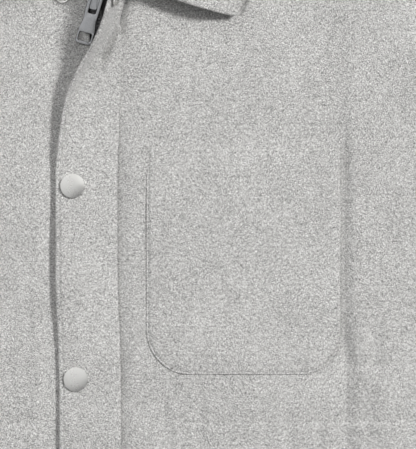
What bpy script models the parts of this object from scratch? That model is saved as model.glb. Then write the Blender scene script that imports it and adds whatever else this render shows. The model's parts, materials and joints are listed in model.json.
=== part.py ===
"""Wool shacket laid flat on its back: a shirt-cut jacket in light grey flannel, with a spread collar,
a patch chest pocket, and a zip under a flap that closes with press studs.

Metres, +Z up. The garment lies in the XY plane, front up, collar towards +Y, and the wearer's left is +X.
Heights along the body are given from the high point of the shoulder, the shoulder point, downwards.
"""

import math

import bmesh
import bpy
from mathutils import Matrix, Vector

# Driving sizes of the cut, all flat measures
BODY_LENGTH = 0.760
CHEST_HALF = 0.290
HEM_HALF = 0.280
SHOULDER_HALF = 0.250
SHOULDER_DROP = 0.045
UNDERARM_DROP = 0.270
NECK_HALF = 0.095
FRONT_NECK_DROP = 0.103
BACK_NECK_DROP = 0.022
SLEEVE_LENGTH = 0.600
SLEEVE_ANGLE = math.radians(55.0)
CUFF_WIDTH = 0.128
POINT_Y = 0.348744

# Cloth walls and the gap kept between pieces at a seam
BODY_WALL = 0.0026
COLLAR_WALL = 0.0024
STAND_WALL = 0.0020
PLACKET_WALL = 0.0026
UNDERLAP_WALL = 0.0018
POCKET_WALL = 0.0014
SEAM_GAP = 0.0004
LAY_GAP = 0.0003

# Levels of the layers above the floor
FRONT_TOP = 0.0088
EDGE_TOP = 0.0031
UNDERLAP_TOP = 0.0070
PLACKET_TOP = 0.0100
SIDE_ROUND = 0.008
SIDE_SLOPE = 0.040
HEM_SLOPE = 0.040
HEM_DROP = 0.0018

# Placket flap: its seam on the left front, its width, and where its upper end lifts open
PLACKET_SEAM_X = 0.0283
PLACKET_WIDTH = 0.0391
CHEST_SHIFT = 0.0014
NECK_SHIFT = 0.0050
NECK_LIFT = 0.008
EDGE_RISE = 0.0040
LIFT_LOW = -0.2275
LIFT_HIGH = -0.1115
LIFT_TABLE = [
    # at even steps up the lifted end: the fold's distance from the seam, the bend's length, and its turn
    (0.0290, 0.018, 0.0),
    (0.0260, 0.018, math.radians(70.0)),
    (0.0232, 0.018, math.radians(70.0)),
    (0.0210, 0.017, math.radians(68.5)),
    (0.0182, 0.014, math.radians(71.5)),
    (0.0140, 0.011, math.radians(79.0)),
    (0.0074, 0.008, math.radians(83.0)),
    (0.0004, 0.007, math.radians(82.0)),
    (0.0000, 0.007, math.radians(82.0)),
]

# Creases pressed into the left front, the placket seam's valley and the long fold beside the pocket
VALLEY_DEPTH = 0.0014
VALLEY_WIDTH = 0.012
CREASE_X = 0.1715
CREASE_DEPTH = 0.0016
CREASE_WIDTH = 0.014

# Chest pocket
POCKET_WIDTH = 0.1233
POCKET_HEIGHT = 0.1425
POCKET_X = 0.0452
POCKET_TOP_DROP = 0.2050
POCKET_CORNER = 0.0285

# Zip and press studs
ZIP_X = 0.018
ZIP_SHIFT = -0.00475
CHAIN_HALF = 0.0030
CHAIN_LOW = 0.0036
CHAIN_HIGH = 0.0054
TAPE_LOW = 0.0041
TAPE_WALL = 0.0008
TAPE_INNER = 0.0034
TAPE_OUTER = 0.0130
UNDERLAP_EDGE = 0.0055
STUD_DROPS = [0.110, 0.2291, 0.350, 0.471, 0.592, 0.713]
CAP_RADIUS = 0.0077
CAP_HEIGHT = 0.0022
STUD_X = -0.0073

# Slider and its pull tab
SLIDER_DROP = 0.110
SLIDER_TILT = math.radians(5.0)
PULL_TILT = math.radians(16.2)
PULL_ASIDE = 0.0010
PULL_LENGTH = 0.0315
HINGE_Z = 0.0079
BAR_RADIUS = 0.00070

FLANNEL = (0.49, 0.485, 0.475)
TAPE_GREY = (0.05, 0.05, 0.055)
ZINC = (0.29, 0.30, 0.32)
NICKEL = (0.62, 0.61, 0.58)


def clear_scene():
    for item in list(bpy.data.objects):
        bpy.data.objects.remove(item)


def material(name, colour, roughness, metallic):
    made = bpy.data.materials.new(name)
    made.use_nodes = True
    shader = made.node_tree.nodes["Principled BSDF"]
    shader.inputs["Base Color"].default_value = (*colour, 1.0)
    shader.inputs["Roughness"].default_value = roughness
    shader.inputs["Metallic"].default_value = metallic
    return made


# Curves and steps

def smooth(value, start, end):
    """0 before start, 1 after end, and an even S between."""
    share = min(1.0, max(0.0, (value - start) / (end - start)))
    return share * share * (3.0 - 2.0 * share)


def mix(first, second, share):
    return first + (second - first) * share


def bezier(points, share):
    """The point at share along a curve with four control points."""
    back = 1.0 - share
    weights = (back**3, 3 * back * back * share, 3 * back * share * share, share**3)
    total = Vector(points[0]) * 0.0
    for weight, point in zip(weights, points):
        total += Vector(point) * weight
    return total


def spline(rows, share):
    """A smooth curve through all the rows, at share from 0 to 1."""
    place = share * (len(rows) - 1)
    k = min(int(place), len(rows) - 2)
    t = place - k
    a = rows[max(k - 1, 0)]
    b = rows[k]
    c = rows[k + 1]
    d = rows[min(k + 2, len(rows) - 1)]
    return 0.5 * (2 * b + (c - a) * t + (2 * a - 5 * b + 4 * c - d) * t * t + (3 * b - a - 3 * c + d) * t**3)


# Outline of the body, from the shoulder point, with drops as negative y

SHOULDER = (SHOULDER_HALF, -SHOULDER_DROP)
UNDERARM = (CHEST_HALF, -UNDERARM_DROP)
ARMHOLE = (UNDERARM, (0.250, -0.250), (0.236, -0.130), SHOULDER)
SIDE_STATIONS = [0.0, 0.014, 0.05, 0.12, 0.28, 0.46, 0.64, 0.80, 0.93]
ARM_STATIONS = [0.0, 0.10, 0.22, 0.36, 0.50, 0.62, 0.74, 0.85, 0.93, 0.972, 0.99, 0.9975, 1.0]
NECK_STATION = 0.62


def outer_point(kind, share):
    """A point of the side seam, or of the armhole above it."""
    if kind == "arm":
        point = bezier(ARMHOLE, share)
        return point.x, point.y
    return mix(HEM_HALF, CHEST_HALF, share), mix(-BODY_LENGTH, -UNDERARM_DROP, share)


def front_neck(side_x, share):
    """The front neckline, from its end at the zip or the flap up to the shoulder point."""
    start = (side_x, -FRONT_NECK_DROP)
    points = (start, (side_x + 0.040, -FRONT_NECK_DROP), (NECK_HALF - 0.003, -0.055), (NECK_HALF, 0.0))
    point = bezier(points, share)
    return point.x, point.y


def panel_rows():
    return [("side", s) for s in SIDE_STATIONS] + [("arm", s) for s in ARM_STATIONS]


def inner_height(kind, share):
    """Height at the centre front of the row that leaves the outline at this station."""
    if kind == "side":
        return mix(-BODY_LENGTH, -UNDERARM_DROP, share)
    return mix(-UNDERARM_DROP, -FRONT_NECK_DROP, min(1.0, share / NECK_STATION))


def placket_seam_x(y):
    """The seam runs straight up and is drawn aside where the neck lies open."""
    return PLACKET_SEAM_X + CHEST_SHIFT * smooth(y, -0.200, -0.140) + NECK_SHIFT * smooth(y, -0.130, -0.105)


def zip_x(y):
    return ZIP_X + ZIP_SHIFT * smooth(y, -0.190, -0.110)


# Heights of the laid fronts

def rim_height(distance, top):
    """Height of the cloth at a distance in from a sewn fold: round at the fold, then a soft slope."""
    curl = min(1.0, max(0.0, distance) / SIDE_ROUND)
    round_part = math.sqrt(1.0 - (1.0 - curl) ** 2)
    slope_part = smooth(distance, 0.0, SIDE_SLOPE)
    rise = top - EDGE_TOP
    return EDGE_TOP + rise * (0.62 * round_part + 0.38 * slope_part)


def armhole_bump(share):
    """1 along the armhole, where the sleeve's layers hold the front up, and 0 at its two ends."""
    return smooth(share, 0.0, 0.20) * smooth(1.0 - share, 0.0, 0.20)


def shoulder_distance(x, y):
    """How far below the shoulder seam a point lies."""
    run = SHOULDER_HALF - NECK_HALF
    line = -SHOULDER_DROP * (abs(x) - NECK_HALF) / run
    return (line - y) * run / math.hypot(run, SHOULDER_DROP)


def trough(offset, depth, width):
    """A pressed crease: steep on its near side and a long rise on its far side."""
    if offset < 0.0:
        return depth * smooth(offset, -0.25 * width, 0.0)
    return depth * (1.0 - smooth(offset, 0.0, width))


def neck_lift(x, y):
    """The open neck draws the left front up near the flap's top end."""
    return NECK_LIFT * smooth(y, -0.175, -0.100) * (1.0 - smooth(x, 0.030, 0.080))


def front_height(x, y, side, edge_distance, edge_share):
    """Outer surface of a front in plan. edge_share is 0 on the side seam and up to 1 on the armhole."""
    top = FRONT_TOP
    if side > 0:
        top -= trough(x - CREASE_X, CREASE_DEPTH, CREASE_WIDTH) * smooth(-y, 0.060, 0.110)
        top -= trough(x - placket_seam_x(y), VALLEY_DEPTH, VALLEY_WIDTH)
        top += neck_lift(x, y)
    else:
        top -= (FRONT_TOP - UNDERLAP_TOP) * smooth(x, -0.026, -0.0115)
    hem_share = 1.0 - smooth(y, -BODY_LENGTH, -BODY_LENGTH + HEM_SLOPE)
    top -= HEM_DROP * hem_share * smooth(abs(x), 0.035, 0.095)
    side_z = mix(rim_height(edge_distance, top), top, edge_share)
    shoulder_z = rim_height(shoulder_distance(x, y), top) if abs(x) > NECK_HALF - 0.02 else top
    return min(side_z, shoulder_z)


# Columns across a front: fixed places near the centre, then distances in from the outline
COLUMN_LIMIT = 0.198
EDGE_COLUMNS = [0.036, 0.022, 0.012, 0.006, 0.0025, 0.0008, 0.0]
LEFT_COLUMNS = [0.0, 0.004, 0.010, 0.020, 0.046, 0.076, 0.106, 0.134, 0.1395, 0.143, 0.148, 0.157, 0.169]
RIGHT_COLUMNS = [0.0, 0.010, 0.024, 0.0285, 0.033, 0.038, 0.050, 0.085, 0.125, 0.165]


def front_grid(side):
    """Rows of outer points of one front, from hem to shoulder seam. side is 1 for the wearer's left."""
    columns = LEFT_COLUMNS if side > 0 else RIGHT_COLUMNS
    neck_y = -FRONT_NECK_DROP
    if side > 0:
        base_x = PLACKET_SEAM_X + LAY_GAP
        neck_x = placket_seam_x(neck_y) + LAY_GAP
    else:
        base_x = -(ZIP_X - UNDERLAP_EDGE)
        neck_x = -(zip_x(neck_y) - UNDERLAP_EDGE)
    rows = []
    for kind, share in panel_rows():
        out_x, out_y = outer_point(kind, share)
        in_y = inner_height(kind, share)
        if side > 0:
            in_x = placket_seam_x(in_y) + LAY_GAP
        else:
            in_x = -(zip_x(in_y) - UNDERLAP_EDGE)
        if kind == "arm" and share > NECK_STATION:
            climb = (share - NECK_STATION) / (1.0 - NECK_STATION)
            in_x, in_y = front_neck(neck_x, climb)
        edge_share = armhole_bump(share) if kind == "arm" else 0.0
        scale = (COLUMN_LIMIT - in_x) / (COLUMN_LIMIT - base_x)
        row_x = [in_x + c * scale for c in columns] + [out_x - d for d in EDGE_COLUMNS]
        row = []
        for x in row_x:
            y = mix(in_y, out_y, (x - in_x) / (out_x - in_x))
            z = front_height(side * x, y, side, out_x - x, edge_share)
            row.append(Vector((side * x, y, z)))
        rows.append(row)
    return rows


def front_wall(point):
    """Padded cloth, and plain where it runs under the flap."""
    thin = smooth(point.x, -0.026, -0.0115) if point.x < PLACKET_SEAM_X - 0.001 else 0.0
    return mix(BODY_WALL, UNDERLAP_WALL, thin)


def front_inner(grid, side):
    """The front's inner surface, which stays clear of the back where the edges come down to it."""
    floor = BODY_WALL + LAY_GAP
    moved = moved_in(grid, front_wall, side)
    return [[Vector((p.x, p.y, max(p.z, floor))) for p in row] for row in moved]


# Solids from grids of points

def grid_normals(grid):
    """Unit normals of a grid, on its rows' left-hand side seen along its columns."""
    last_row = len(grid) - 1
    last = len(grid[0]) - 1
    normals = []
    for i, row in enumerate(grid):
        line = []
        for j in range(len(row)):
            along = grid[min(i + 1, last_row)][j] - grid[max(i - 1, 0)][j]
            across = grid[i][min(j + 1, last)] - grid[i][max(j - 1, 0)]
            line.append(across.cross(along).normalized())
        normals.append(line)
    return normals


def moved_in(grid, distance, flip=1.0):
    """The grid's points moved by a distance to the inner side of the cloth."""
    wall = distance if callable(distance) else lambda point: distance
    moved = []
    for row, normals in zip(grid, grid_normals(grid)):
        moved.append([p - n * flip * wall(p) for p, n in zip(row, normals)])
    return moved


def finish_mesh(name, mesh, finish, smooth_angle=40.0):
    mesh.normal_update()
    bmesh.ops.recalc_face_normals(mesh, faces=mesh.faces)
    data = bpy.data.meshes.new(name)
    mesh.to_mesh(data)
    mesh.free()
    data.shade_smooth()
    data.set_sharp_from_angle(angle=math.radians(smooth_angle))
    data.materials.append(finish)
    piece = bpy.data.objects.new(name, data)
    bpy.context.scene.collection.objects.link(piece)
    return piece


def placed(point):
    """From heights under the shoulder point to the garment's own frame."""
    return Vector((point.x, point.y + POINT_Y, point.z))


def sheet_solid(name, outer, inner, finish):
    """A closed wall between two grids of the same shape."""
    mesh = bmesh.new()
    skins = []
    for grid in (outer, inner):
        skins.append([[mesh.verts.new(placed(p)) for p in row] for row in grid])
    rows = len(outer)
    columns = len(outer[0])
    for skin in skins:
        for i in range(rows - 1):
            for j in range(columns - 1):
                mesh.faces.new((skin[i][j], skin[i][j + 1], skin[i + 1][j + 1], skin[i + 1][j]))
    rim = [(0, j) for j in range(columns)]
    rim += [(i, columns - 1) for i in range(1, rows)]
    rim += [(rows - 1, j) for j in range(columns - 2, -1, -1)]
    rim += [(i, 0) for i in range(rows - 2, 0, -1)]
    for (a, b), (c, d) in zip(rim, rim[1:] + rim[:1]):
        mesh.faces.new((skins[0][a][b], skins[0][c][d], skins[1][c][d], skins[1][a][b]))
    return finish_mesh(name, mesh, finish)


def tube_solid(name, outer, inner, finish):
    """A closed wall between two tubes, each a list of rings."""
    mesh = bmesh.new()
    skins = []
    for rings in (outer, inner):
        skins.append([[mesh.verts.new(placed(p)) for p in ring] for ring in rings])
    count = len(outer[0])
    for skin in skins:
        for i in range(len(skin) - 1):
            for j in range(count):
                k = (j + 1) % count
                mesh.faces.new((skin[i][j], skin[i][k], skin[i + 1][k], skin[i + 1][j]))
    for end in (0, -1):
        for j in range(count):
            k = (j + 1) % count
            mesh.faces.new((skins[0][end][j], skins[0][end][k], skins[1][end][k], skins[1][end][j]))
    return finish_mesh(name, mesh, finish)


# Back: one flat panel, whose columns follow the shoulder seams and the back neckline

BACK_COLUMNS = [0.0, 0.07, 0.14, 0.22, 0.30, 0.38, 0.53, 0.70, 0.86, 1.0]


def back_top_y(x):
    if x < NECK_HALF:
        return -BACK_NECK_DROP * (1.0 - (x / NECK_HALF) ** 2)
    return -SHOULDER_DROP * (x - NECK_HALF) / (SHOULDER_HALF - NECK_HALF)


def make_back(finish):
    shares = [-c for c in reversed(BACK_COLUMNS[1:])] + BACK_COLUMNS
    outer = []
    for kind, share in panel_rows():
        out_x, out_y = outer_point(kind, share)
        climb = smooth(share, 0.0, 1.0) if kind == "arm" else 0.0
        row = []
        for c in shares:
            rise = back_top_y(abs(c) * SHOULDER_HALF) + SHOULDER_DROP
            row.append(Vector((c * out_x, out_y + rise * climb, BODY_WALL)))
        outer.append(row)
    inner = [[Vector((p.x, p.y, 0.0)) for p in row] for row in outer]
    return sheet_solid("back", outer, inner, finish)


# Sleeves: flattened tubes set into the armholes

SLEEVE_SECTIONS = 14
WRINKLES = [
    # share down the sleeve, depth, half length
    {"share": 0.10, "depth": 0.0022, "spread": 0.045},
    {"share": 0.43, "depth": 0.0026, "spread": 0.050},
    {"share": 0.57, "depth": 0.0018, "spread": 0.040},
]
FOLD_RADIUS = 0.0028
END_COLUMNS = [0.0, 0.0008, 0.0030, 0.0090]


def armhole_path():
    """The body's armhole corners from shoulder to underarm, moved out by the seam gap."""
    points = [Vector((*outer_point("arm", s), 0.0)) for s in reversed(ARM_STATIONS)]
    moved = []
    for k, point in enumerate(points):
        along = points[min(k + 1, len(points) - 1)] - points[max(k - 1, 0)]
        out = Vector((-along.y, along.x, 0.0)).normalized()
        moved.append(point + out * SEAM_GAP)
    return moved


def lengths_along(points):
    total = [0.0]
    for a, b in zip(points, points[1:]):
        total.append(total[-1] + (b - a).length)
    return total


def point_along(points, lengths, distance):
    for k in range(len(points) - 1):
        if distance <= lengths[k + 1] or k == len(points) - 2:
            share = (distance - lengths[k]) / (lengths[k + 1] - lengths[k])
            return points[k].lerp(points[k + 1], share)
    return points[-1]


def sleeve_height(near, share):
    """Outer height of the sleeve's upper layer at a distance from its nearer fold."""
    if near < FOLD_RADIUS:
        return FOLD_RADIUS + math.sqrt(max(0.0, FOLD_RADIUS**2 - (FOLD_RADIUS - near) ** 2))
    crease = 0.0
    for wrinkle in WRINKLES:
        reach = abs(share - wrinkle["share"]) * SLEEVE_LENGTH
        crease += wrinkle["depth"] * (1.0 - smooth(reach, 0.0, wrinkle["spread"]))
    base = 2.0 * FOLD_RADIUS
    top = mix(FRONT_TOP, FRONT_TOP - 0.0016, share) - crease * smooth(near, 0.0, 0.06)
    return base + (top - base) * smooth(near, FOLD_RADIUS, 0.045)


def across_sleeve(distance, head, width):
    """Where a column lies across the sleeve: kept near both folds and shared out between them."""
    near_end = END_COLUMNS[-1]
    if distance <= near_end:
        return distance
    if distance >= head - near_end:
        return width - (head - distance)
    return mix(near_end, width - near_end, (distance - near_end) / (head - 2.0 * near_end))


def sleeve_ring(start, heading, width, share, columns, bends):
    """One ring of the sleeve's outer and inner surface, from its outer fold over the top and back below."""
    upper, lower, upper_in, lower_in = [], [], [], []
    near_end = END_COLUMNS[-1]
    for distance, bend in zip(columns, bends):
        place = start + heading * distance + bend
        near = min(distance, width - distance)
        z = sleeve_height(near, share)
        low = FOLD_RADIUS - math.sqrt(max(0.0, FOLD_RADIUS**2 - max(0.0, FOLD_RADIUS - near) ** 2))
        inner_near = BODY_WALL + near * (1.0 - BODY_WALL / near_end) if near < near_end else near
        shift = heading * (inner_near - near) * (1.0 if distance < 0.5 * width else -1.0)
        part = smooth(near, 0.0, 0.0008)
        top_in = mix(FOLD_RADIUS, sleeve_height(inner_near, share) - BODY_WALL, part)
        low_in = mix(FOLD_RADIUS, BODY_WALL, part)
        upper.append(Vector((place.x, place.y, z)))
        lower.append(Vector((place.x, place.y, low)))
        upper_in.append(Vector((place.x + shift.x, place.y + shift.y, top_in)))
        lower_in.append(Vector((place.x + shift.x, place.y + shift.y, low_in)))
    return upper + lower[-2:0:-1], upper_in + lower_in[-2:0:-1]


def make_sleeve(name, side, finish):
    path = armhole_path()
    lengths = lengths_along(path)
    head = lengths[-1]
    near_end = END_COLUMNS[-1]
    middle = [d for d in lengths if near_end + 0.004 < d < head - near_end - 0.004]
    stations = END_COLUMNS + middle + [head - d for d in reversed(END_COLUMNS)]
    chord = path[-1] - path[0]
    chord_way = chord.normalized()
    axis = Vector((math.sin(SLEEVE_ANGLE), -math.cos(SLEEVE_ANGLE), 0.0))
    across = Vector((axis.y, -axis.x, 0.0))
    cuff_out = path[0] + axis * SLEEVE_LENGTH
    cuff_in = cuff_out + across * CUFF_WIDTH
    head_bends = []
    for d in stations:
        straight = path[0] + chord_way * across_sleeve(d, head, chord.length)
        head_bends.append(point_along(path, lengths, d) - straight)
    outer_rings = []
    inner_rings = []
    for k in range(SLEEVE_SECTIONS + 1):
        share = k / SLEEVE_SECTIONS
        start = path[0].lerp(cuff_out, share)
        end = path[-1].lerp(cuff_in, share)
        width = (end - start).length
        columns = [across_sleeve(d, head, width) for d in stations]
        bends = [b * (1.0 - smooth(share, 0.0, 0.45)) for b in head_bends]
        outer, inner = sleeve_ring(start, (end - start) / width, width, share, columns, bends)
        outer_rings.append(outer)
        inner_rings.append(inner)
    if side < 0:
        outer_rings = [[Vector((-p.x, p.y, p.z)) for p in ring] for ring in outer_rings]
        inner_rings = [[Vector((-p.x, p.y, p.z)) for p in ring] for ring in inner_rings]
    return tube_solid(name, outer_rings, inner_rings, finish)


# Placket flap: a strip from its seam to its free edge, fastened below and lifted open at the neck

FASTENED_ROWS = [-BODY_LENGTH, -0.480]
LIFTED_ROWS = [LIFT_LOW + 0.00725 * k for k in range(17)]
FLAP_ROWS = FASTENED_ROWS + LIFTED_ROWS + [-0.1034]
FLAP_COLUMNS = [0.0, 0.0015, 0.004, 0.0075, 0.011, 0.0145, 0.019, 0.024, 0.029, 0.034, 0.0376, PLACKET_WIDTH]
STEP_COUNT = 40
RISE_START = 0.004
FLAT_HIGH = -0.213


def flap_section(y):
    """The flap's turning angle at a height, as a function of the distance from its seam."""
    share = (y - LIFT_LOW) / (LIFT_HIGH - LIFT_LOW)
    rows = [Vector(row) for row in LIFT_TABLE]
    fold, bend, turn = spline(rows, min(1.0, max(0.0, share)))
    start = max(0.0, fold)

    def angle(distance):
        return turn * smooth(distance, start, start + bend)

    return angle


def flap_point(distance, y):
    """Outer surface of the flap at a distance across it from its seam."""
    angle = flap_section(y)
    x = placket_seam_x(y)
    z = PLACKET_TOP + neck_lift(x, y)
    step = distance / STEP_COUNT
    for k in range(STEP_COUNT if distance > 0.0 else 0):
        turned = angle((k + 0.5) * step)
        x -= step * math.cos(turned)
        z += step * math.sin(turned)
    soft_edge = 1.0 - math.sqrt(1.0 - (1.0 - min(1.0, distance / 0.004)) ** 2)
    fastened = 1.0 - smooth(y, LIFT_LOW, FLAT_HIGH)
    z += EDGE_RISE * smooth(distance, RISE_START, PLACKET_WIDTH) * fastened
    return Vector((x, y, z - 0.0008 * soft_edge))


def flap_grid():
    return [[flap_point(d, y) for d in reversed(FLAP_COLUMNS)] for y in FLAP_ROWS]


def make_placket(finish):
    outer = flap_grid()
    return sheet_solid("placket", outer, moved_in(outer, PLACKET_WALL), finish)


# Chest pocket: the front's own level, moved out, with a straight top and round bottom corners

ROUND_ROWS = [0.0, 0.0008, 0.003, 0.007, 0.012, 0.018, POCKET_CORNER]
POCKET_ROWS = ROUND_ROWS + [0.05, 0.09, 0.125, 0.1405, POCKET_HEIGHT]
POCKET_COLUMNS = [0.0, 0.02, 0.06, 0.14, 0.32, 0.5, 0.68, 0.86, 0.94, 0.98, 1.0]


def make_pocket(finish):
    outer = []
    for up in POCKET_ROWS:
        y = -POCKET_TOP_DROP - POCKET_HEIGHT + up
        short = POCKET_CORNER - math.sqrt(max(0.0, POCKET_CORNER**2 - max(0.0, POCKET_CORNER - up) ** 2))
        left = POCKET_X + short
        right = POCKET_X + POCKET_WIDTH - short
        row = []
        for share in POCKET_COLUMNS:
            row.append(Vector((mix(left, right, share), y, FRONT_TOP + LAY_GAP + POCKET_WALL)))
        outer.append(row)
    inner = [[Vector((p.x, p.y, FRONT_TOP + LAY_GAP)) for p in row] for row in outer]
    return sheet_solid("pocket", outer, inner, finish)


# Collar: a stand that tapers to the front ends, and a leaf that rolls over it

COLLAR_TABLE = [
    # seam on the neckline, top of the stand, edge of the leaf, from the left front round the back
    {"seam": (0.0235, -0.1005, 0.040), "roll": (0.0245, -0.0985, 0.0455), "edge": (0.099, -0.122, 0.0126)},
    {"seam": (0.035, -0.0985, 0.0215), "roll": (0.036, -0.092, 0.035), "edge": (0.118, -0.090, 0.0122)},
    {"seam": (0.053, -0.088, 0.0125), "roll": (0.054, -0.077, 0.030), "edge": (0.134, -0.060, 0.0122)},
    {"seam": (0.072, -0.069, 0.0102), "roll": (0.0715, -0.054, 0.029), "edge": (0.146, -0.034, 0.0122)},
    {"seam": (0.087, -0.036, 0.010), "roll": (0.083, -0.026, 0.031), "edge": (0.154, -0.010, 0.011)},
    {"seam": (0.0925, -0.0035, 0.008), "roll": (0.088, 0.004, 0.033), "edge": (0.154, 0.018, 0.0062)},
    {"seam": (0.077, -0.007, 0.0042), "roll": (0.0765, 0.013, 0.032), "edge": (0.135, 0.040, 0.0036)},
    {"seam": (0.052, -0.015, 0.004), "roll": (0.055, 0.012, 0.0305), "edge": (0.099, 0.053, 0.0034)},
    {"seam": (0.026, -0.020, 0.004), "roll": (0.029, 0.009, 0.029), "edge": (0.051, 0.059, 0.0034)},
    {"seam": (0.000, -0.0215, 0.004), "roll": (0.000, 0.008, 0.0285), "edge": (0.000, 0.061, 0.0034)},
]
COLLAR_RIGHT = [
    # the same for the right front's end, which lies lower, from its third row to its end
    {"seam": (-0.050, -0.090, 0.010), "roll": (-0.0505, -0.078, 0.026), "edge": (-0.129, -0.066, 0.0122)},
    {"seam": (-0.027, -0.0985, 0.0096), "roll": (-0.028, -0.0905, 0.0205), "edge": (-0.108, -0.096, 0.0122)},
    {"seam": (-0.007, -0.101, 0.0092), "roll": (-0.0065, -0.097, 0.015), "edge": (-0.083, -0.126, 0.0124)},
]
COLLAR_STEPS = 36
ROLL_RADIUS = 0.0050
ROLL_POINTS = 4
LEAF_POINTS = 4
LEAF_BULGE = 0.0035
STAND_POINTS = 4


def collar_sections():
    """Sections round the neck, each with its three points, made smooth from the two tables."""
    mirrored = []
    for row in reversed(COLLAR_TABLE[3:-1]):
        mirrored.append({key: (-p[0], p[1], p[2]) for key, p in row.items()})
    rows = COLLAR_TABLE + mirrored + COLLAR_RIGHT
    columns = {key: [Vector(row[key]) for row in rows] for key in ("seam", "roll", "edge")}
    made = []
    for k in range(COLLAR_STEPS + 1):
        made.append({key: spline(points, k / COLLAR_STEPS) for key, points in columns.items()})
    return made


def stand_line(section):
    seam, roll = section["seam"], section["roll"]
    return [seam.lerp(roll, k / (STAND_POINTS - 1)) for k in range(STAND_POINTS)]


def leaf_line(section):
    """From the stand's top edge over the roll and down to the leaf's edge."""
    seam, roll, edge = section["seam"], section["roll"], section["edge"]
    up = (roll - seam).normalized()
    away = edge - roll
    out = (away - up * away.dot(up)).normalized()
    fall = math.atan2(away.dot(out), away.dot(up))
    start = roll + up * LAY_GAP
    points = []
    for k in range(ROLL_POINTS):
        turned = fall * k / (ROLL_POINTS - 1)
        points.append(start + (up * math.sin(turned) + out * (1.0 - math.cos(turned))) * ROLL_RADIUS)
    last = points[-1]
    bulge_way = out.cross(up).cross(edge - last).normalized()
    if bulge_way.z < 0.0:
        bulge_way = -bulge_way
    for k in range(1, LEAF_POINTS + 1):
        share = k / LEAF_POINTS
        points.append(last.lerp(edge, share) + bulge_way * LEAF_BULGE * math.sin(math.pi * share))
    return points


def make_collar(finish):
    sections = collar_sections()
    stand_outer = [stand_line(s) for s in sections]
    stand_inner = moved_in(stand_outer, STAND_WALL, -1.0)
    stand = sheet_solid("collar_stand", stand_outer, stand_inner, finish)
    leaf_outer = [leaf_line(s) for s in sections]
    leaf_inner = moved_in(leaf_outer, COLLAR_WALL, -1.0)
    leaf = sheet_solid("collar_leaf", leaf_outer, leaf_inner, finish)
    return stand, leaf


# Zip: two tapes, and the closed chain between them

def strip(name, rows, low, high, finish):
    """A flat strip from rows of (y, left x, right x), between two heights."""
    outer = [[Vector((a, y, high)), Vector((b, y, high))] for y, a, b in rows]
    inner = [[Vector((a, y, low)), Vector((b, y, low))] for y, a, b in rows]
    return sheet_solid(name, outer, inner, finish)


ZIP_ROWS = [-0.752, -0.40, -0.19, -0.17, -0.15, -0.13, -0.1115]


def make_zip(tape_finish, chain_finish):
    low = TAPE_LOW
    right_rows = [(y, zip_x(y) - TAPE_OUTER, zip_x(y) - TAPE_INNER) for y in ZIP_ROWS + [-0.1034]]
    strip("zip_tape_right", right_rows, low, low + TAPE_WALL, tape_finish)
    left_rows = [(y, zip_x(y) + TAPE_INNER, placket_seam_x(y) - 0.0004) for y in ZIP_ROWS + [-0.1034]]
    strip("zip_tape_left", left_rows, low, low + TAPE_WALL, tape_finish)
    chain_rows = [(y, zip_x(y) - CHAIN_HALF, zip_x(y) + CHAIN_HALF) for y in ZIP_ROWS]
    strip("zip_chain", chain_rows, CHAIN_LOW, CHAIN_HIGH, chain_finish)


# Slider: two plates joined by a nose, and a crown that holds the pull's bar

SLIDER_HALF = 0.0044
SLIDER_TAIL = -0.0085
SLIDER_HEAD = 0.0065
PLATE_LOW = (0.0028, 0.0033)
PLATE_HIGH = (0.0057, 0.0065)
CROWN_HALF = 0.0014
LEG_HALF = 0.0012
CROWN_TOP = 0.0099
CROWN_UNDER = 0.0090
CROWN_TAIL = -0.0090


def block(mesh, low, high):
    """A box between two corners."""
    made = bmesh.ops.create_cube(mesh, size=1.0)
    middle = (Vector(low) + Vector(high)) / 2
    size = Vector(high) - Vector(low)
    for vert in made["verts"]:
        vert.co = Vector((vert.co.x * size.x, vert.co.y * size.y, vert.co.z * size.z)) + middle


def temporary(name, build):
    """An object whose mesh a function fills, for a Boolean to use up."""
    mesh = bmesh.new()
    build(mesh)
    bmesh.ops.recalc_face_normals(mesh, faces=mesh.faces)
    data = bpy.data.meshes.new(name)
    mesh.to_mesh(data)
    mesh.free()
    piece = bpy.data.objects.new(name, data)
    bpy.context.scene.collection.objects.link(piece)
    return piece


def combine(target, other, operation):
    """Applies a Boolean of two objects and removes the second."""
    modifier = target.modifiers.new("join", "BOOLEAN")
    modifier.operation = operation
    modifier.object = other
    modifier.solver = "EXACT"
    bpy.context.view_layer.update()
    evaluated = target.evaluated_get(bpy.context.evaluated_depsgraph_get())
    data = bpy.data.meshes.new_from_object(evaluated)
    target.modifiers.clear()
    target.data = data
    bpy.data.objects.remove(other)


def prism(mesh, outline, low, high):
    """An outline in plan, filled and pushed up between two heights."""
    verts = [mesh.verts.new((x, y, low)) for x, y in outline]
    face = mesh.faces.new(verts)
    raised = bmesh.ops.extrude_face_region(mesh, geom=[face])
    for item in raised["geom"]:
        if isinstance(item, bmesh.types.BMVert):
            item.co.z = high


def slider_outline(head_half):
    """A plate wide at its head and narrower at its tail."""
    return [
        (-head_half * 0.62, SLIDER_TAIL),
        (head_half * 0.62, SLIDER_TAIL),
        (head_half, -0.001),
        (head_half, 0.0045),
        (head_half * 0.6, SLIDER_HEAD),
        (-head_half * 0.6, SLIDER_HEAD),
        (-head_half, 0.0045),
        (-head_half, -0.001),
    ]


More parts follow.
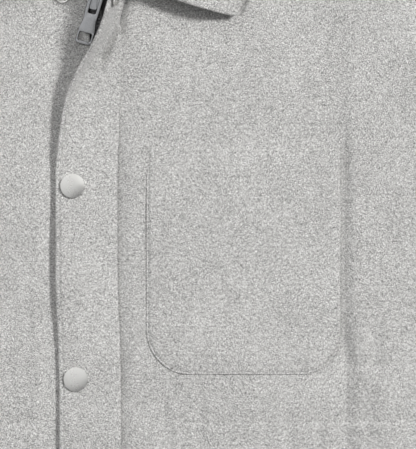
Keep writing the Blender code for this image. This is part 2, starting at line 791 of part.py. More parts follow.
def make_slider(finish, centre):
    body = temporary("slider", lambda m: prism(m, slider_outline(SLIDER_HALF), *PLATE_HIGH))
    lower = temporary("low_plate", lambda m: prism(m, slider_outline(SLIDER_HALF), *PLATE_LOW))
    combine(body, lower, "UNION")
    nose = [(0.0, 0.0005), (0.0022, 0.0035), (0.0012, 0.0062), (-0.0012, 0.0062), (-0.0022, 0.0035)]
    post = temporary("nose", lambda m: prism(m, nose, PLATE_LOW[0] + 0.0002, PLATE_HIGH[1] - 0.0002))
    combine(body, post, "UNION")
    seat = PLATE_HIGH[1] - 0.0003
    leg_top = CROWN_TOP - 0.0002
    crown_ends = (-CROWN_HALF, CROWN_TAIL, CROWN_UNDER), (CROWN_HALF, 0.0048, CROWN_TOP)
    front_ends = (-CROWN_HALF, 0.0026, seat), (CROWN_HALF, 0.0047, leg_top)
    rear_ends = (-LEG_HALF, -0.0037, seat), (LEG_HALF, -0.0023, leg_top)
    crown = temporary("crown", lambda m: block(m, *crown_ends))
    front_leg = temporary("front_leg", lambda m: block(m, *front_ends))
    combine(crown, front_leg, "UNION")
    rear_leg = temporary("rear_leg", lambda m: block(m, *rear_ends))
    combine(crown, rear_leg, "UNION")
    combine(body, crown, "UNION")
    finish_booleaned(body, finish, centre, -SLIDER_TILT)


def finish_booleaned(piece, finish, centre, turn=0.0):
    """Gives a Boolean's result its finish, shading and place."""
    piece.data.materials.clear()
    piece.data.materials.append(finish)
    piece.data.shade_smooth()
    piece.data.set_sharp_from_angle(angle=math.radians(30.0))
    piece.location = placed(Vector((centre[0], centre[1], 0.0)))
    piece.rotation_euler = (0.0, 0.0, turn)


# Pull tab: a tapered plate with a window, hung by a round bar under the crown

PULL_TOP_HALF = 0.0046
PULL_NECK_HALF = 0.0042
PULL_LOW_HALF = 0.0053
PULL_WALL = 0.0014
SLOT_HALF = 0.0024
SLOT_END = -0.0118
WINDOW = (0.0040, -0.0297, -0.0242)
CORNER_STEPS = 4


def rounded_outline(corners):
    """Corners as (x, y, radius), each replaced with an arc."""
    points = []
    count = len(corners)
    for k, (x, y, radius) in enumerate(corners):
        here = Vector((x, y, 0.0))
        before = (Vector((*corners[k - 1][:2], 0.0)) - here).normalized()
        after = (Vector((*corners[(k + 1) % count][:2], 0.0)) - here).normalized()
        half = before.angle(after) / 2
        reach = radius / math.tan(half)
        centre = here + (before + after).normalized() * (radius / math.sin(half))
        start = here + before * reach - centre
        end = here + after * reach - centre
        for s in range(CORNER_STEPS + 1):
            share = s / CORNER_STEPS
            spoke = start.lerp(end, share).normalized() * radius
            points.append(((centre + spoke).x, (centre + spoke).y))
    return points


def make_pull(finish, centre):
    low = -PULL_WALL / 2
    high = PULL_WALL / 2
    outline = rounded_outline([
        (-PULL_LOW_HALF, -PULL_LENGTH, 0.0014),
        (PULL_LOW_HALF, -PULL_LENGTH, 0.0014),
        (PULL_LOW_HALF, -0.0225, 0.004),
        (PULL_NECK_HALF, -0.0165, 0.004),
        (PULL_TOP_HALF, -0.0090, 0.004),
        (PULL_TOP_HALF, BAR_RADIUS, 0.0005),
        (-PULL_TOP_HALF, BAR_RADIUS, 0.0005),
        (-PULL_TOP_HALF, -0.0090, 0.004),
        (-PULL_NECK_HALF, -0.0165, 0.004),
        (-PULL_LOW_HALF, -0.0225, 0.004),
    ])
    body = temporary("zip_pull", lambda m: prism(m, outline, low, high))
    half, bottom, top = WINDOW
    hole = rounded_outline([
        (-half, bottom, 0.0009),
        (half, bottom, 0.0009),
        (half, top, 0.0009),
        (-half, top, 0.0009),
    ])
    window = temporary("window", lambda m: prism(m, hole, low - 0.002, high + 0.002))
    combine(body, window, "DIFFERENCE")
    slot_shape = rounded_outline([
        (-SLOT_HALF, SLOT_END, 0.0008),
        (SLOT_HALF, SLOT_END, 0.0008),
        (SLOT_HALF, 0.004, 0.0003),
        (-SLOT_HALF, 0.004, 0.0003),
    ])
    slot = temporary("slot", lambda m: prism(m, slot_shape, low - 0.002, high + 0.002))
    combine(body, slot, "DIFFERENCE")
    bar = temporary("bar", bar_between)
    combine(body, bar, "UNION")
    finish_booleaned(body, finish, centre, -PULL_TILT)
    body.location.z = HINGE_Z


def bar_between(mesh):
    """The round bar that joins the pull's two arms under the crown."""
    size = {"radius1": BAR_RADIUS * 0.98, "radius2": BAR_RADIUS * 0.98, "depth": 2 * (SLOT_HALF + 0.0010)}
    made = bmesh.ops.create_cone(mesh, cap_ends=True, segments=12, **size)
    sideways = Matrix.Rotation(math.pi / 2, 3, "Y")
    bmesh.ops.rotate(mesh, verts=made["verts"], cent=(0, 0, 0), matrix=sideways)


# Press studs: domed caps on the flap, and the open top one's stud on the right front

def turned(name, profile, steps, finish, place, up):
    """A closed profile of (radius, height) turned about its axis and stood on a surface."""
    mesh = bmesh.new()
    verts = [mesh.verts.new((r, 0.0, h)) for r, h in profile]
    edges = [mesh.edges.new(pair) for pair in zip(verts, verts[1:])]
    about = {"axis": (0, 0, 1), "cent": (0, 0, 0), "angle": 2 * math.pi}
    bmesh.ops.spin(mesh, geom=verts + edges, steps=steps, use_merge=True, **about)
    bmesh.ops.remove_doubles(mesh, verts=mesh.verts, dist=1e-6)
    piece = finish_mesh(name, mesh, finish, 50.0)
    piece.rotation_mode = "QUATERNION"
    piece.rotation_quaternion = up.to_track_quat("Z", "Y")
    piece.location = placed(place + up * LAY_GAP)
    return piece


def cap_profile():
    """A low dome with a rolled rim, from its foot's centre out and over to its crown."""
    points = [(0.0, 0.0), (CAP_RADIUS - 0.0010, 0.0), (CAP_RADIUS, 0.0006)]
    for k in range(1, 6):
        angle = math.pi / 2 * k / 5
        height = 0.0006 + (CAP_HEIGHT - 0.0006) * math.sin(angle)
        points.append((CAP_RADIUS * math.cos(angle) ** 0.8 if k < 5 else 0.0, height))
    return points


STUD_PROFILE = [
    # radius and height: a round base, a waist and a flat head
    (0.0, 0.0),
    (0.0046, 0.0),
    (0.0050, 0.0005),
    (0.0044, 0.0010),
    (0.0024, 0.0008),
    (0.0021, 0.0024),
    (0.0014, 0.0030),
    (0.0, 0.0030),
]


def make_studs(finish):
    centre_share = PLACKET_SEAM_X
    for number, drop in enumerate(STUD_DROPS, 1):
        y = -drop
        here = flap_point(centre_share, y)
        aside = flap_point(centre_share + 0.002, y) - flap_point(centre_share - 0.002, y)
        along = flap_point(centre_share, y + 0.002) - flap_point(centre_share, y - 0.002)
        up = along.cross(aside).normalized()
        turned(f"stud_cap_{number}", cap_profile(), 20, finish, here, up)
    top = Vector((STUD_X, -STUD_DROPS[0], front_height(STUD_X, -STUD_DROPS[0], -1, 0.2, 0.0)))
    turned("stud_post", STUD_PROFILE, 16, finish, top, Vector((0.0, 0.0, 1.0)))


def main():
    clear_scene()
    wool = material("flannel", FLANNEL, 0.95, 0.0)
    tape = material("zip_tape", TAPE_GREY, 0.85, 0.0)
    zinc = material("zip_metal", ZINC, 0.35, 0.9)
    nickel = material("stud_metal", NICKEL, 0.28, 0.9)
    make_back(wool)
    for name, side in (("front_left", 1), ("front_right", -1)):
        outer = front_grid(side)
        sheet_solid(name, outer, front_inner(outer, side), wool)
    for name, side in (("sleeve_left", 1), ("sleeve_right", -1)):
        make_sleeve(name, side, wool)
    make_placket(wool)
    make_pocket(wool)
    make_collar(wool)
    make_zip(tape, zinc)
    centre = (zip_x(-SLIDER_DROP), -SLIDER_DROP)
    make_slider(zinc, centre)
    aside = (PULL_ASIDE * math.cos(SLIDER_TILT), -PULL_ASIDE * math.sin(SLIDER_TILT))
    make_pull(zinc, (centre[0] + aside[0], centre[1] + aside[1]))
    make_studs(nickel)


main()
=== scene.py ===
"""Looks of a light grey wool shacket laid flat on its back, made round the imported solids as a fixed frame.

Metres, +Z up. +X is the wearer's left. Heights along the body are given from the high point of the shoulder
downwards, as in the cut, and placed() moves them to the frame. Each cloth piece is a closed shell: its outer
points follow the cut, with the creases pressed in, and its inner points lie one wall below them.
"""

import json
import math

import bmesh
import bpy
import numpy as np
from mathutils import Matrix, Vector


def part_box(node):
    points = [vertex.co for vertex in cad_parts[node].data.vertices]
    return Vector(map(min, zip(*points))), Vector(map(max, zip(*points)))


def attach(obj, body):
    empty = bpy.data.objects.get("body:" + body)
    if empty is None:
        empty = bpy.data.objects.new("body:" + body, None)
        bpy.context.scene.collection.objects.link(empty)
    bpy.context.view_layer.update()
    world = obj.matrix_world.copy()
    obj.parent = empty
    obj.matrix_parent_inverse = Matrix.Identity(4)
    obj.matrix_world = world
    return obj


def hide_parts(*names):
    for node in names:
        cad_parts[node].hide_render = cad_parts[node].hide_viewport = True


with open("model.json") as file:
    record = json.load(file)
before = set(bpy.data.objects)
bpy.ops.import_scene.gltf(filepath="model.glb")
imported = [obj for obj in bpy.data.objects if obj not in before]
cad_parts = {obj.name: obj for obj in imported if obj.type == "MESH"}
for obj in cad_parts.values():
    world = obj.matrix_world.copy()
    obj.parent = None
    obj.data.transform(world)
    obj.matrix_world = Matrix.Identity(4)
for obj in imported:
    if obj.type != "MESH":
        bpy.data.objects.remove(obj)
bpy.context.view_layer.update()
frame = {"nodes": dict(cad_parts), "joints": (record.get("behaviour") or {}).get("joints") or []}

# The cut, as flat measures
BODY_LENGTH = 0.760
CHEST_HALF = 0.290
HEM_HALF = 0.280
SHOULDER_HALF = 0.250
SHOULDER_DROP = 0.045
UNDERARM_DROP = 0.270
NECK_HALF = 0.095
FRONT_NECK_DROP = 0.103
BACK_NECK_DROP = 0.022
SLEEVE_LENGTH = 0.600
SLEEVE_ANGLE = math.radians(55.0)
CUFF_WIDTH = 0.128
POINT_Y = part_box("back")[0].y + BODY_LENGTH

# Walls, gaps and levels of the layers
BODY_WALL = 0.0026
COLLAR_WALL = 0.0024
STAND_WALL = 0.0020
PLACKET_WALL = 0.0026
UNDERLAP_WALL = 0.0018
POCKET_WALL = 0.0014
EDGE_INSET = 0.0013
SEAM_GAP = 0.0004
LAY_GAP = 0.0003
FRONT_TOP = 0.0088
EDGE_TOP = 0.0031
UNDERLAP_TOP = 0.0070
UNDERLAP_STEP = (-0.026, -0.0115)
PLACKET_TOP = 0.0100
SIDE_ROUND = 0.008
SIDE_SLOPE = 0.040
HEM_SLOPE = 0.040
HEM_DROP = 0.0018
FOLD_RADIUS = 0.0028

# Placket flap
PLACKET_SEAM_X = 0.0283
PLACKET_WIDTH = 0.0391
CHEST_SHIFT = 0.0014
NECK_SHIFT = 0.0050
NECK_LIFT = 0.008
EDGE_RISE = 0.0028
EDGE_RISE_LOW = 0.0008
RISE_START = 0.004
LIFT_LOW = -0.2275
LIFT_HIGH = -0.1115
FLAT_HIGH = -0.213
LIFT_TABLE = [
    # at even steps up the lifted end: the fold's distance from the seam, the bend's length, and its turn
    (0.0290, 0.018, 0.0),
    (0.0260, 0.018, math.radians(70.0)),
    (0.0232, 0.018, math.radians(70.0)),
    (0.0210, 0.017, math.radians(68.5)),
    (0.0182, 0.014, math.radians(71.5)),
    (0.0140, 0.011, math.radians(79.0)),
    (0.0074, 0.008, math.radians(83.0)),
    (0.0004, 0.007, math.radians(82.0)),
    (0.0000, 0.007, math.radians(82.0)),
]
FOLD_DIP = 0.0056
FOLD_AHEAD = 0.0009
LIFT_SCALE = 0.74
LIFT_SCALE_HIGH = 0.68
STUD_DROPS = [0.110, 0.2291, 0.350, 0.471, 0.592, 0.713]
CAP_RADIUS = 0.0077
CAP_DOME = 0.0005
CAP_ROLL = 0.0004
CAP_SIDE = 0.0011
CAP_SINK = 0.00035

# Zip
ZIP_X = 0.018
ZIP_SHIFT = -0.00475
UNDERLAP_EDGE = 0.0055

# Chest pocket
POCKET_WIDTH = 0.1233
POCKET_HEIGHT = 0.1425
POCKET_X = 0.0449
POCKET_TOP_DROP = 0.2050
POCKET_CORNER = 0.0285
POCKET_HEM = 0.0206
HEM_UP = POCKET_HEIGHT - POCKET_HEM

# Sewing
STITCH_LENGTH = 0.0030
STITCH_GAP = 0.0009
THREAD_RADIUS = 0.00022
THREAD_SIDES = 6
SEWING_INSET = 0.0021
RIGHT_INSET = 0.0017

# View: the camera looks straight down at this point, and sees this height of cloth
VIEW_X = 0.08375
VIEW_DROP = 0.2533
VIEW_HEIGHT = 0.2806
CAMERA_DISTANCE = 3.0
SENSOR = 36.0

# How soon a soft crease starts at each end, as a share of its length
SOFT_FADE = 0.25


# Curves and steps, on numbers or arrays

def smooth(value, start, end):
    """0 before start, 1 after end, and an even S between."""
    share = np.clip((value - start) / (end - start), 0.0, 1.0)
    return share * share * (3.0 - 2.0 * share)


def mix(first, second, share):
    return first + (second - first) * share


def bezier(points, share):
    """Points at the shares along a curve with four control points."""
    share = np.asarray(share, float)[..., None]
    back = 1.0 - share
    a, b, c, d = (np.array(p, float) for p in points)
    return a * back**3 + b * 3 * back**2 * share + c * 3 * back * share**2 + d * share**3


def spline(rows, shares):
    """A smooth curve through all the rows, at shares from 0 to 1."""
    rows = np.array(rows, float)
    place = np.asarray(shares, float) * (len(rows) - 1)
    k = np.clip(place.astype(int), 0, len(rows) - 2)
    t = (place - k)[:, None]
    a, b, c, d = rows[np.maximum(k - 1, 0)], rows[k], rows[k + 1], rows[np.minimum(k + 2, len(rows) - 1)]
    return 0.5 * (2 * b + (c - a) * t + (2 * a - 5 * b + 4 * c - d) * t * t + (3 * b - a - 3 * c + d) * t**3)


def ripple(x, y, height):
    """A slow, uneven swell of the cloth, with no direction of its own."""
    total = np.sin(x * 75.0 + y * 103.0 + 1.3) + np.sin(x * 133.0 - y * 65.0 + 0.4)
    total += np.sin(x * 41.0 + y * 151.0 + 2.2) + 0.6 * np.sin(x * 212.0 + y * 187.0)
    return height * total / 3.6


def pressed(x, y, creases):
    """Depth of the creases at plan points. The note over LEFT_CREASES says what a row holds."""
    total = np.zeros(np.broadcast(x, y).shape)
    for ax, ay, bx, by, depth, left, right, *sharp in creases:
        length = math.hypot(bx - ax, by - ay)
        ux, uy = (bx - ax) / length, (by - ay) / length
        along = ((x - ax) * ux + (y - ay) * uy) / length
        aside = (y - ay) * ux - (x - ax) * uy
        share = np.clip(np.abs(aside) / np.where(aside > 0.0, left, right), 0.0, 1.0)
        across = (1.0 - share) ** 2 if sharp else 1.0 - smooth(share, 0.0, 1.0)
        fade = sharp[0] if sharp else SOFT_FADE
        total += depth * across * smooth(along, 0.0, fade) * (1.0 - smooth(along, 1.0 - fade, 1.0))
    return total


def path_lengths(path):
    """Length along a path at each of its points."""
    return np.concatenate([[0.0], np.cumsum(np.linalg.norm(np.diff(path, axis=0), axis=1))])


def line(start, end, count=160):
    """Even plan points from start to end."""
    return mix(np.array(start), np.array(end), np.linspace(0.0, 1.0, count)[:, None])


# Shells from grids of points

def placed(points):
    """From heights under the shoulder point to the frame."""
    return points + np.array([0.0, POINT_Y, 0.0])


def grid_normals(grid):
    """Unit normals of a grid of points, up for rows that run away and columns that run to the right."""
    along = np.gradient(grid, axis=0)
    across = np.gradient(grid, axis=1)
    normals = np.cross(across, along)
    return normals / np.linalg.norm(normals, axis=2, keepdims=True)


def boundary(rows, columns):
    """Row and column numbers round a grid's edge, in order."""
    ring = [(0, j) for j in range(columns)]
    ring += [(i, columns - 1) for i in range(1, rows)]
    ring += [(rows - 1, j) for j in range(columns - 2, -1, -1)]
    ring += [(i, 0) for i in range(rows - 2, 0, -1)]
    return np.array(ring)


def outward(grid, ring, sides):
    """For each point of the edge ring, the way out of the sheet if its side is a rounded one."""
    rows, columns = grid.shape[:2]
    ways = np.zeros((len(ring), 3))
    for k, (i, j) in enumerate(ring):
        inside = {}
        if i in (0, rows - 1):
            inside["low" if i == 0 else "high"] = (1 if i == 0 else -2, j)
        if j in (0, columns - 1):
            inside["first" if j == 0 else "last"] = (i, 1 if j == 0 else -2)
        for side, place in inside.items():
            if side in sides:
                ways[k] += unit(grid[i, j] - grid[place])
        ways[k] = unit(ways[k])
    return ways


def unit(vector):
    return vector / max(np.linalg.norm(vector), 1e-9)


ROUND_ANGLES = np.radians([30.0, 60.0, 90.0, 120.0, 150.0])


def shell(name, outer, inner, material, round_sides=()):
    """A closed sheet between two grids, whose named sides are rounded as a fold is."""
    rows, columns = outer.shape[:2]
    ring = boundary(rows, columns)
    ways = outward(outer, ring, round_sides)
    top = outer[ring[:, 0], ring[:, 1]]
    low = inner[ring[:, 0], ring[:, 1]]
    middle = (top + low) / 2
    half = (top - low) / 2
    reach = np.linalg.norm(half, axis=1, keepdims=True)
    rims = [middle + half * math.cos(a) + ways * reach * math.sin(a) for a in ROUND_ANGLES]
    count = rows * columns
    points = np.vstack([outer.reshape(-1, 3), inner.reshape(-1, 3), *rims])
    i, j = np.meshgrid(np.arange(rows - 1), np.arange(columns - 1), indexing="ij")
    corner = (i * columns + j).ravel()
    skin = np.stack([corner, corner + 1, corner + columns + 1, corner + columns], axis=1)
    edge = ring[:, 0] * columns + ring[:, 1]
    between = [2 * count + k * len(ring) + np.arange(len(ring)) for k in range(len(rims))]
    bands = [edge, *between, edge + count]
    faces = [skin, (skin + count)[:, ::-1]]
    for upper, lower in zip(bands, bands[1:]):
        following = np.roll(upper, -1), np.roll(lower, -1)
        faces.append(np.stack([upper, lower, following[1], following[0]], axis=1))
    return cloth_piece(name, placed(points), np.vstack(faces), material)


def tube(name, outer, inner, material):
    """A closed wall between two tubes, each an array of rings."""
    rings, count = outer.shape[:2]
    points = np.vstack([outer.reshape(-1, 3), inner.reshape(-1, 3)])
    i, j = np.meshgrid(np.arange(rings - 1), np.arange(count), indexing="ij")
    corner = (i * count + j).ravel()
    aside = (i * count + (j + 1) % count).ravel()
    skin = np.stack([corner, aside, aside + count, corner + count], axis=1)
    total = rings * count
    ring = np.arange(count)
    following = np.roll(ring, -1)
    faces = [skin, (skin + total)[:, ::-1]]
    for start, turn in ((0, 1), ((rings - 1) * count, -1)):
        band = np.stack([ring, ring + total, following + total, following], axis=1)
        faces.append(band[:, ::turn] + start)
    return cloth_piece(name, placed(points), np.vstack(faces), material)


def add_object(name, data, material=None):
    """Links data into the scene as an object."""
    if material:
        data.materials.append(material)
    made = bpy.data.objects.new(name, data)
    bpy.context.scene.collection.objects.link(made)
    return made


def mesh_data(name, mesh):
    data = bpy.data.meshes.new(name)
    mesh.to_mesh(data)
    mesh.free()
    return data


def cloth_piece(name, points, faces, material):
    rough = bpy.data.meshes.new(name)
    rough.from_pydata(points.tolist(), [], faces.tolist())
    mesh = bmesh.new()
    mesh.from_mesh(rough)
    bpy.data.meshes.remove(rough)
    bmesh.ops.recalc_face_normals(mesh, faces=mesh.faces)
    data = mesh_data(name, mesh)
    data.shade_smooth()
    return add_object(name, data, material)


# Outline of the body

UNDERARM = (CHEST_HALF, -UNDERARM_DROP)
ARMHOLE = (UNDERARM, (0.250, -0.250), (0.236, -0.130), (SHOULDER_HALF, -SHOULDER_DROP))
NECK_STATION = 0.62
COLUMN_LIMIT = 0.205
SEEN_LOW = -0.400
SEEN_STEP = 0.0016
UNSEEN_STEP = 0.0060
RIGHT_FINE = -0.050
EDGE_DISTANCES = [0.030, 0.022, 0.016, 0.011, 0.008, 0.006, 0.0045, 0.003, 0.002, 0.0012, 0.0006, 0.0002, 0.0]


def placket_seam_x(y):
    """The seam wanders a little: out at the chest, in at the first fastened stud, and out again below."""
    drift = 0.0013 * smooth(-y, 0.300, 0.365)
    drift -= 0.0010 * smooth(-y, 0.185, 0.225) * (1.0 - smooth(-y, 0.285, 0.325))
    chest = CHEST_SHIFT * smooth(y, -0.200, -0.140)
    return PLACKET_SEAM_X + drift + chest + NECK_SHIFT * smooth(y, -0.130, -0.105)


def zip_x(y):
    return ZIP_X + ZIP_SHIFT * smooth(y, -0.190, -0.110)


def panel_rows():
    """Rows of a front from hem to shoulder: share of the armhole, height at the centre, and outer end."""
    plain = np.arange(-BODY_LENGTH + EDGE_INSET, SEEN_LOW, UNSEEN_STEP)
    seen = np.arange(SEEN_LOW, -UNDERARM_DROP, SEEN_STEP)
    side_y = np.concatenate([plain, seen])
    side_x = mix(HEM_HALF, CHEST_HALF, (side_y + BODY_LENGTH) / (BODY_LENGTH - UNDERARM_DROP))
    low_arm = np.linspace(0.0, NECK_STATION, 104)
    high_arm = np.linspace(NECK_STATION, 0.97, 32)[1:]
    top_arm = np.array([0.978, 0.985, 0.990, 0.994, 0.997, 0.999, 1.0])
    arm = np.concatenate([low_arm, high_arm, top_arm])
    ends = bezier(ARMHOLE, arm)
    centre = mix(-UNDERARM_DROP, -FRONT_NECK_DROP, np.minimum(1.0, arm / NECK_STATION))
    share = np.concatenate([np.zeros(len(side_y)), arm])
    inner_y = np.concatenate([side_y, centre])
    outer = np.vstack([np.stack([side_x, side_y], axis=1), ends])
    return share, inner_y, outer


def rim_height(distance, top):
    """Height of the cloth at a distance in from a sewn fold: round at the fold, then a soft slope."""
    curl = np.clip(distance / SIDE_ROUND, 0.0, 1.0)
    round_part = np.sqrt(1.0 - (1.0 - curl) ** 2)
    return EDGE_TOP + (top - EDGE_TOP) * (0.62 * round_part + 0.38 * smooth(distance, 0.0, SIDE_SLOPE))


def shoulder_distance(x, y):
    run = SHOULDER_HALF - NECK_HALF
    line = -SHOULDER_DROP * (np.abs(x) - NECK_HALF) / run
    return (line - y) * run / math.hypot(run, SHOULDER_DROP)


def neck_lift(x, y):
    return NECK_LIFT * smooth(y, -0.175, -0.100) * (1.0 - smooth(x, 0.030, 0.080))


# A crease's row: x and y of the start, x and y of the end, depth, and width to the left and right of its way.
# A last number makes the crease sharp, and says how soon it starts at each end. The others are soft.

LEFT_CREASES = [
    # the long step beside the pocket: soft above it, sharp along it, and further out below it
    (0.165, -0.235, 0.164, -0.11, 0.0017, 0.045, 0.0105),
    (0.1682, -0.356, 0.1682, -0.188, 0.0038, 0.002, 0.0095, 0.2),
    (0.171, -0.79, 0.1706, -0.305, 0.0038, 0.03, 0.013, 0.07),
    (0.198, -0.44, 0.1965, -0.342, -0.0022, 0.017, 0.016),
    # the sharp line along the collar's right edge
    (0.1022, -0.124, 0.1112, -0.1, 0.004, 0.0035, 0.0034, 0.15),
    # lines across the panel where the filling is held: a slow fall from above and a quick rise below
    (0.03, -0.201, 0.235, -0.1998, 0.0007, 0.01, 0.0034, 0.1),
    (0.16, -0.2375, 0.235, -0.2368, 0.0003, 0.009, 0.0014, 0.1),
    (0.16, -0.2724, 0.235, -0.272, 0.0002, 0.008, 0.0014, 0.1),
    (0.166, -0.3064, 0.235, -0.3058, 0.0011, 0.0075, 0.002, 0.1),
    (0.168, -0.342, 0.235, -0.341, 0.0013, 0.013, 0.0045, 0.1),
    (0.026, -0.3775, 0.168, -0.377, 0.0007, 0.012, 0.003, 0.1),
    (0.166, -0.3765, 0.235, -0.3755, 0.0018, 0.018, 0.0045, 0.06),
    (0.03, -0.4125, 0.23, -0.412, 0.0006, 0.012, 0.0016, 0.1),
    (0.034, -0.483, 0.225, -0.482, 0.0005, 0.014, 0.0018, 0.1),
    (0.03, -0.588, 0.232, -0.587, 0.0006, 0.011, 0.0016, 0.1),
    # puffs and hollows beyond the long step
    (0.1965, -0.28, 0.1925, -0.225, 0.0006, 0.009, 0.006),
    (0.1895, -0.352, 0.1885, -0.31, 0.0018, 0.009, 0.008),
    (0.182, -0.39, 0.185, -0.354, 0.0007, 0.006, 0.008),
    (0.1815, -0.185, 0.183, -0.23, 0.0004, 0.006, 0.005),
    # slight drags in the chest above the pocket
    (0.0615, -0.12, 0.06, -0.195, 0.001, 0.006, 0.007),
    (0.074, -0.14, 0.07, -0.205, 0.0008, 0.005, 0.005),
    (0.1065, -0.115, 0.105, -0.205, 0.0008, 0.006, 0.009),
    (0.144, -0.135, 0.143, -0.205, 0.0007, 0.006, 0.006),
    (0.125, -0.17, 0.14, -0.185, 0.0006, 0.006, 0.006),
    # drags under the pocket and down the panel
    (0.056, -0.36, 0.059, -0.41, 0.0012, 0.006, 0.006),
    (0.078, -0.355, 0.08, -0.4, 0.001, 0.005, 0.006),
    (0.133, -0.362, 0.136, -0.415, 0.001, 0.006, 0.005),
    (0.154, -0.37, 0.152, -0.42, 0.0008, 0.006, 0.006),
    (0.1, -0.42, 0.128, -0.53, 0.0012, 0.011, 0.009),
    (0.222, -0.45, 0.205, -0.61, 0.0016, 0.013, 0.01),
    (0.06, -0.56, 0.09, -0.68, 0.001, 0.01, 0.008),
    (0.24, -0.26, 0.214, -0.35, 0.0016, 0.01, 0.008),
    (0.255, -0.275, 0.245, -0.39, 0.0014, 0.009, 0.009),
    (0.212, -0.1, 0.226, -0.19, 0.001, 0.01, 0.007),
]
RIGHT_CREASES = [
    (-0.03, -0.76, -0.027, -0.13, 0.0003, 0.009, 0.006, 0.1),
    (-0.24, -0.2025, -0.01, -0.2028, 0.0005, 0.008, 0.0016, 0.1),
    (-0.21, -0.2375, -0.012, -0.2378, 0.0015, 0.008, 0.004, 0.1),
    (-0.19, -0.2725, -0.012, -0.2727, 0.0004, 0.0085, 0.0014, 0.1),
    (-0.18, -0.3072, -0.012, -0.3076, 0.0005, 0.007, 0.0014, 0.1),
    (-0.19, -0.3425, -0.012, -0.3424, 0.0003, 0.009, 0.0014, 0.1),
    (-0.2, -0.3772, -0.012, -0.3777, 0.002, 0.014, 0.0045, 0.1),
    (-0.23, -0.448, -0.012, -0.4475, 0.0006, 0.012, 0.0016, 0.1),
    (-0.225, -0.552, -0.012, -0.553, 0.0007, 0.01, 0.0018, 0.1),
    (-0.168, -0.15, -0.172, -0.69, 0.0018, 0.012, 0.006),
    (-0.245, -0.26, -0.205, -0.37, 0.0016, 0.009, 0.011),
    (-0.258, -0.285, -0.25, -0.41, 0.0013, 0.01, 0.009),
    (-0.12, -0.38, -0.09, -0.51, 0.0012, 0.01, 0.012),
    (-0.07, -0.58, -0.105, -0.7, 0.001, 0.009, 0.011),
    (-0.215, -0.47, -0.235, -0.64, 0.0015, 0.01, 0.012),
    (-0.205, -0.095, -0.222, -0.185, 0.0012, 0.009, 0.01),
    (-0.11, -0.145, -0.085, -0.25, 0.0008, 0.01, 0.008),
]
HEM_STITCH = 0.022
GROOVE_DEPTH = 0.00035
GROOVE_WIDTH = 0.0011
VALLEY_DEPTH = 0.0031
VALLEY_WIDTH = 0.011


def groove(distance, at, depth=GROOVE_DEPTH, width=GROOVE_WIDTH):
    """The dent that a row of stitches pulls into the cloth."""
    return depth * (1.0 - smooth(np.abs(distance - at), 0.0, width))


def seam_ditch(x, y):
    """The front falls to the flap's seam, steeper near it, and most where the flap folds up off it."""
    offset = np.clip(x - placket_seam_x(y), 0.0, None)
    slow = VALLEY_DEPTH * np.clip(1.0 - offset / VALLEY_WIDTH, 0.0, 1.0) ** 2
    near_neck = 0.0030 * smooth(y, -0.140, -0.128) * np.clip(1.0 - offset / 0.0040, 0.0, 1.0) ** 2
    return slow * (0.40 + 0.60 * smooth(-y, 0.165, 0.215)) + near_neck


def front_height(x, y, side, edge_distance, arm_share):
    """Outer surface of a front, with its creases."""
    top = FRONT_TOP + ripple(x, y, 0.00018)
    if side > 0:
        top = top - seam_ditch(x, y) - pressed(x, y, LEFT_CREASES) + neck_lift(x, y)
    else:
        top = top - (FRONT_TOP - UNDERLAP_TOP) * smooth(x, *UNDERLAP_STEP)
        top = top - pressed(x, y, RIGHT_CREASES) * (1.0 - smooth(x, -0.020, -0.012))
    hem_share = 1.0 - smooth(y, -BODY_LENGTH, -BODY_LENGTH + HEM_SLOPE)
    top = top - HEM_DROP * hem_share * smooth(np.abs(x), 0.035, 0.095)
    top = top - groove(y, -BODY_LENGTH + HEM_STITCH)
    bump = smooth(arm_share, 0.0, 0.20) * smooth(1.0 - arm_share, 0.0, 0.20)
    side_z = mix(rim_height(edge_distance, top), top, bump)
    shoulder_z = np.where(np.abs(x) > NECK_HALF - 0.02, rim_height(shoulder_distance(x, y), top), top)
    return np.minimum(side_z, shoulder_z)


def front_grid(side):
    """Outer points of one front, from hem to shoulder and from the centre out."""
    share, inner_y, outer = panel_rows()
    if side > 0:
        inner_x = placket_seam_x(inner_y) - 0.0016
    else:
        inner_x = -(zip_x(inner_y) - UNDERLAP_EDGE)
    on_neck = share > NECK_STATION
    climb = (share[on_neck] - NECK_STATION) / (1.0 - NECK_STATION)
    start = inner_x[~on_neck][-1]
    low_neck = ((start, -FRONT_NECK_DROP), (start + 0.04, -FRONT_NECK_DROP))
    curve = bezier((*low_neck, (NECK_HALF - 0.003, -0.055), (NECK_HALF, 0.0)), climb)
    inner_x[on_neck], inner_y[on_neck] = curve.T
    base = inner_x[0]
    fine_limit = COLUMN_LIMIT if side > 0 else -RIGHT_FINE
    fine = np.arange(base, fine_limit, SEEN_STEP)
    fixed = np.concatenate([fine, np.arange(fine[-1], COLUMN_LIMIT, UNSEEN_STEP)[1:]]) - base
    scale = (COLUMN_LIMIT - inner_x) / (COLUMN_LIMIT - base)
    near = inner_x[:, None] + fixed[None, :] * scale[:, None]
    room = outer[:, 0] - COLUMN_LIMIT - EDGE_DISTANCES[0]
    middle = COLUMN_LIMIT + np.linspace(0.0, 1.0, 10)[None, :-1] * room[:, None]
    far = outer[:, 0][:, None] - np.array(EDGE_DISTANCES)[None, :]
    x = np.hstack([near, middle, far])
    across = (x - inner_x[:, None]) / (outer[:, 0] - inner_x)[:, None]
    y = mix(inner_y[:, None], outer[:, 1][:, None], across)
    z = front_height(side * x, y, side, outer[:, 0][:, None] - x, share[:, None])
    return np.stack([side * x, y, z], axis=2)


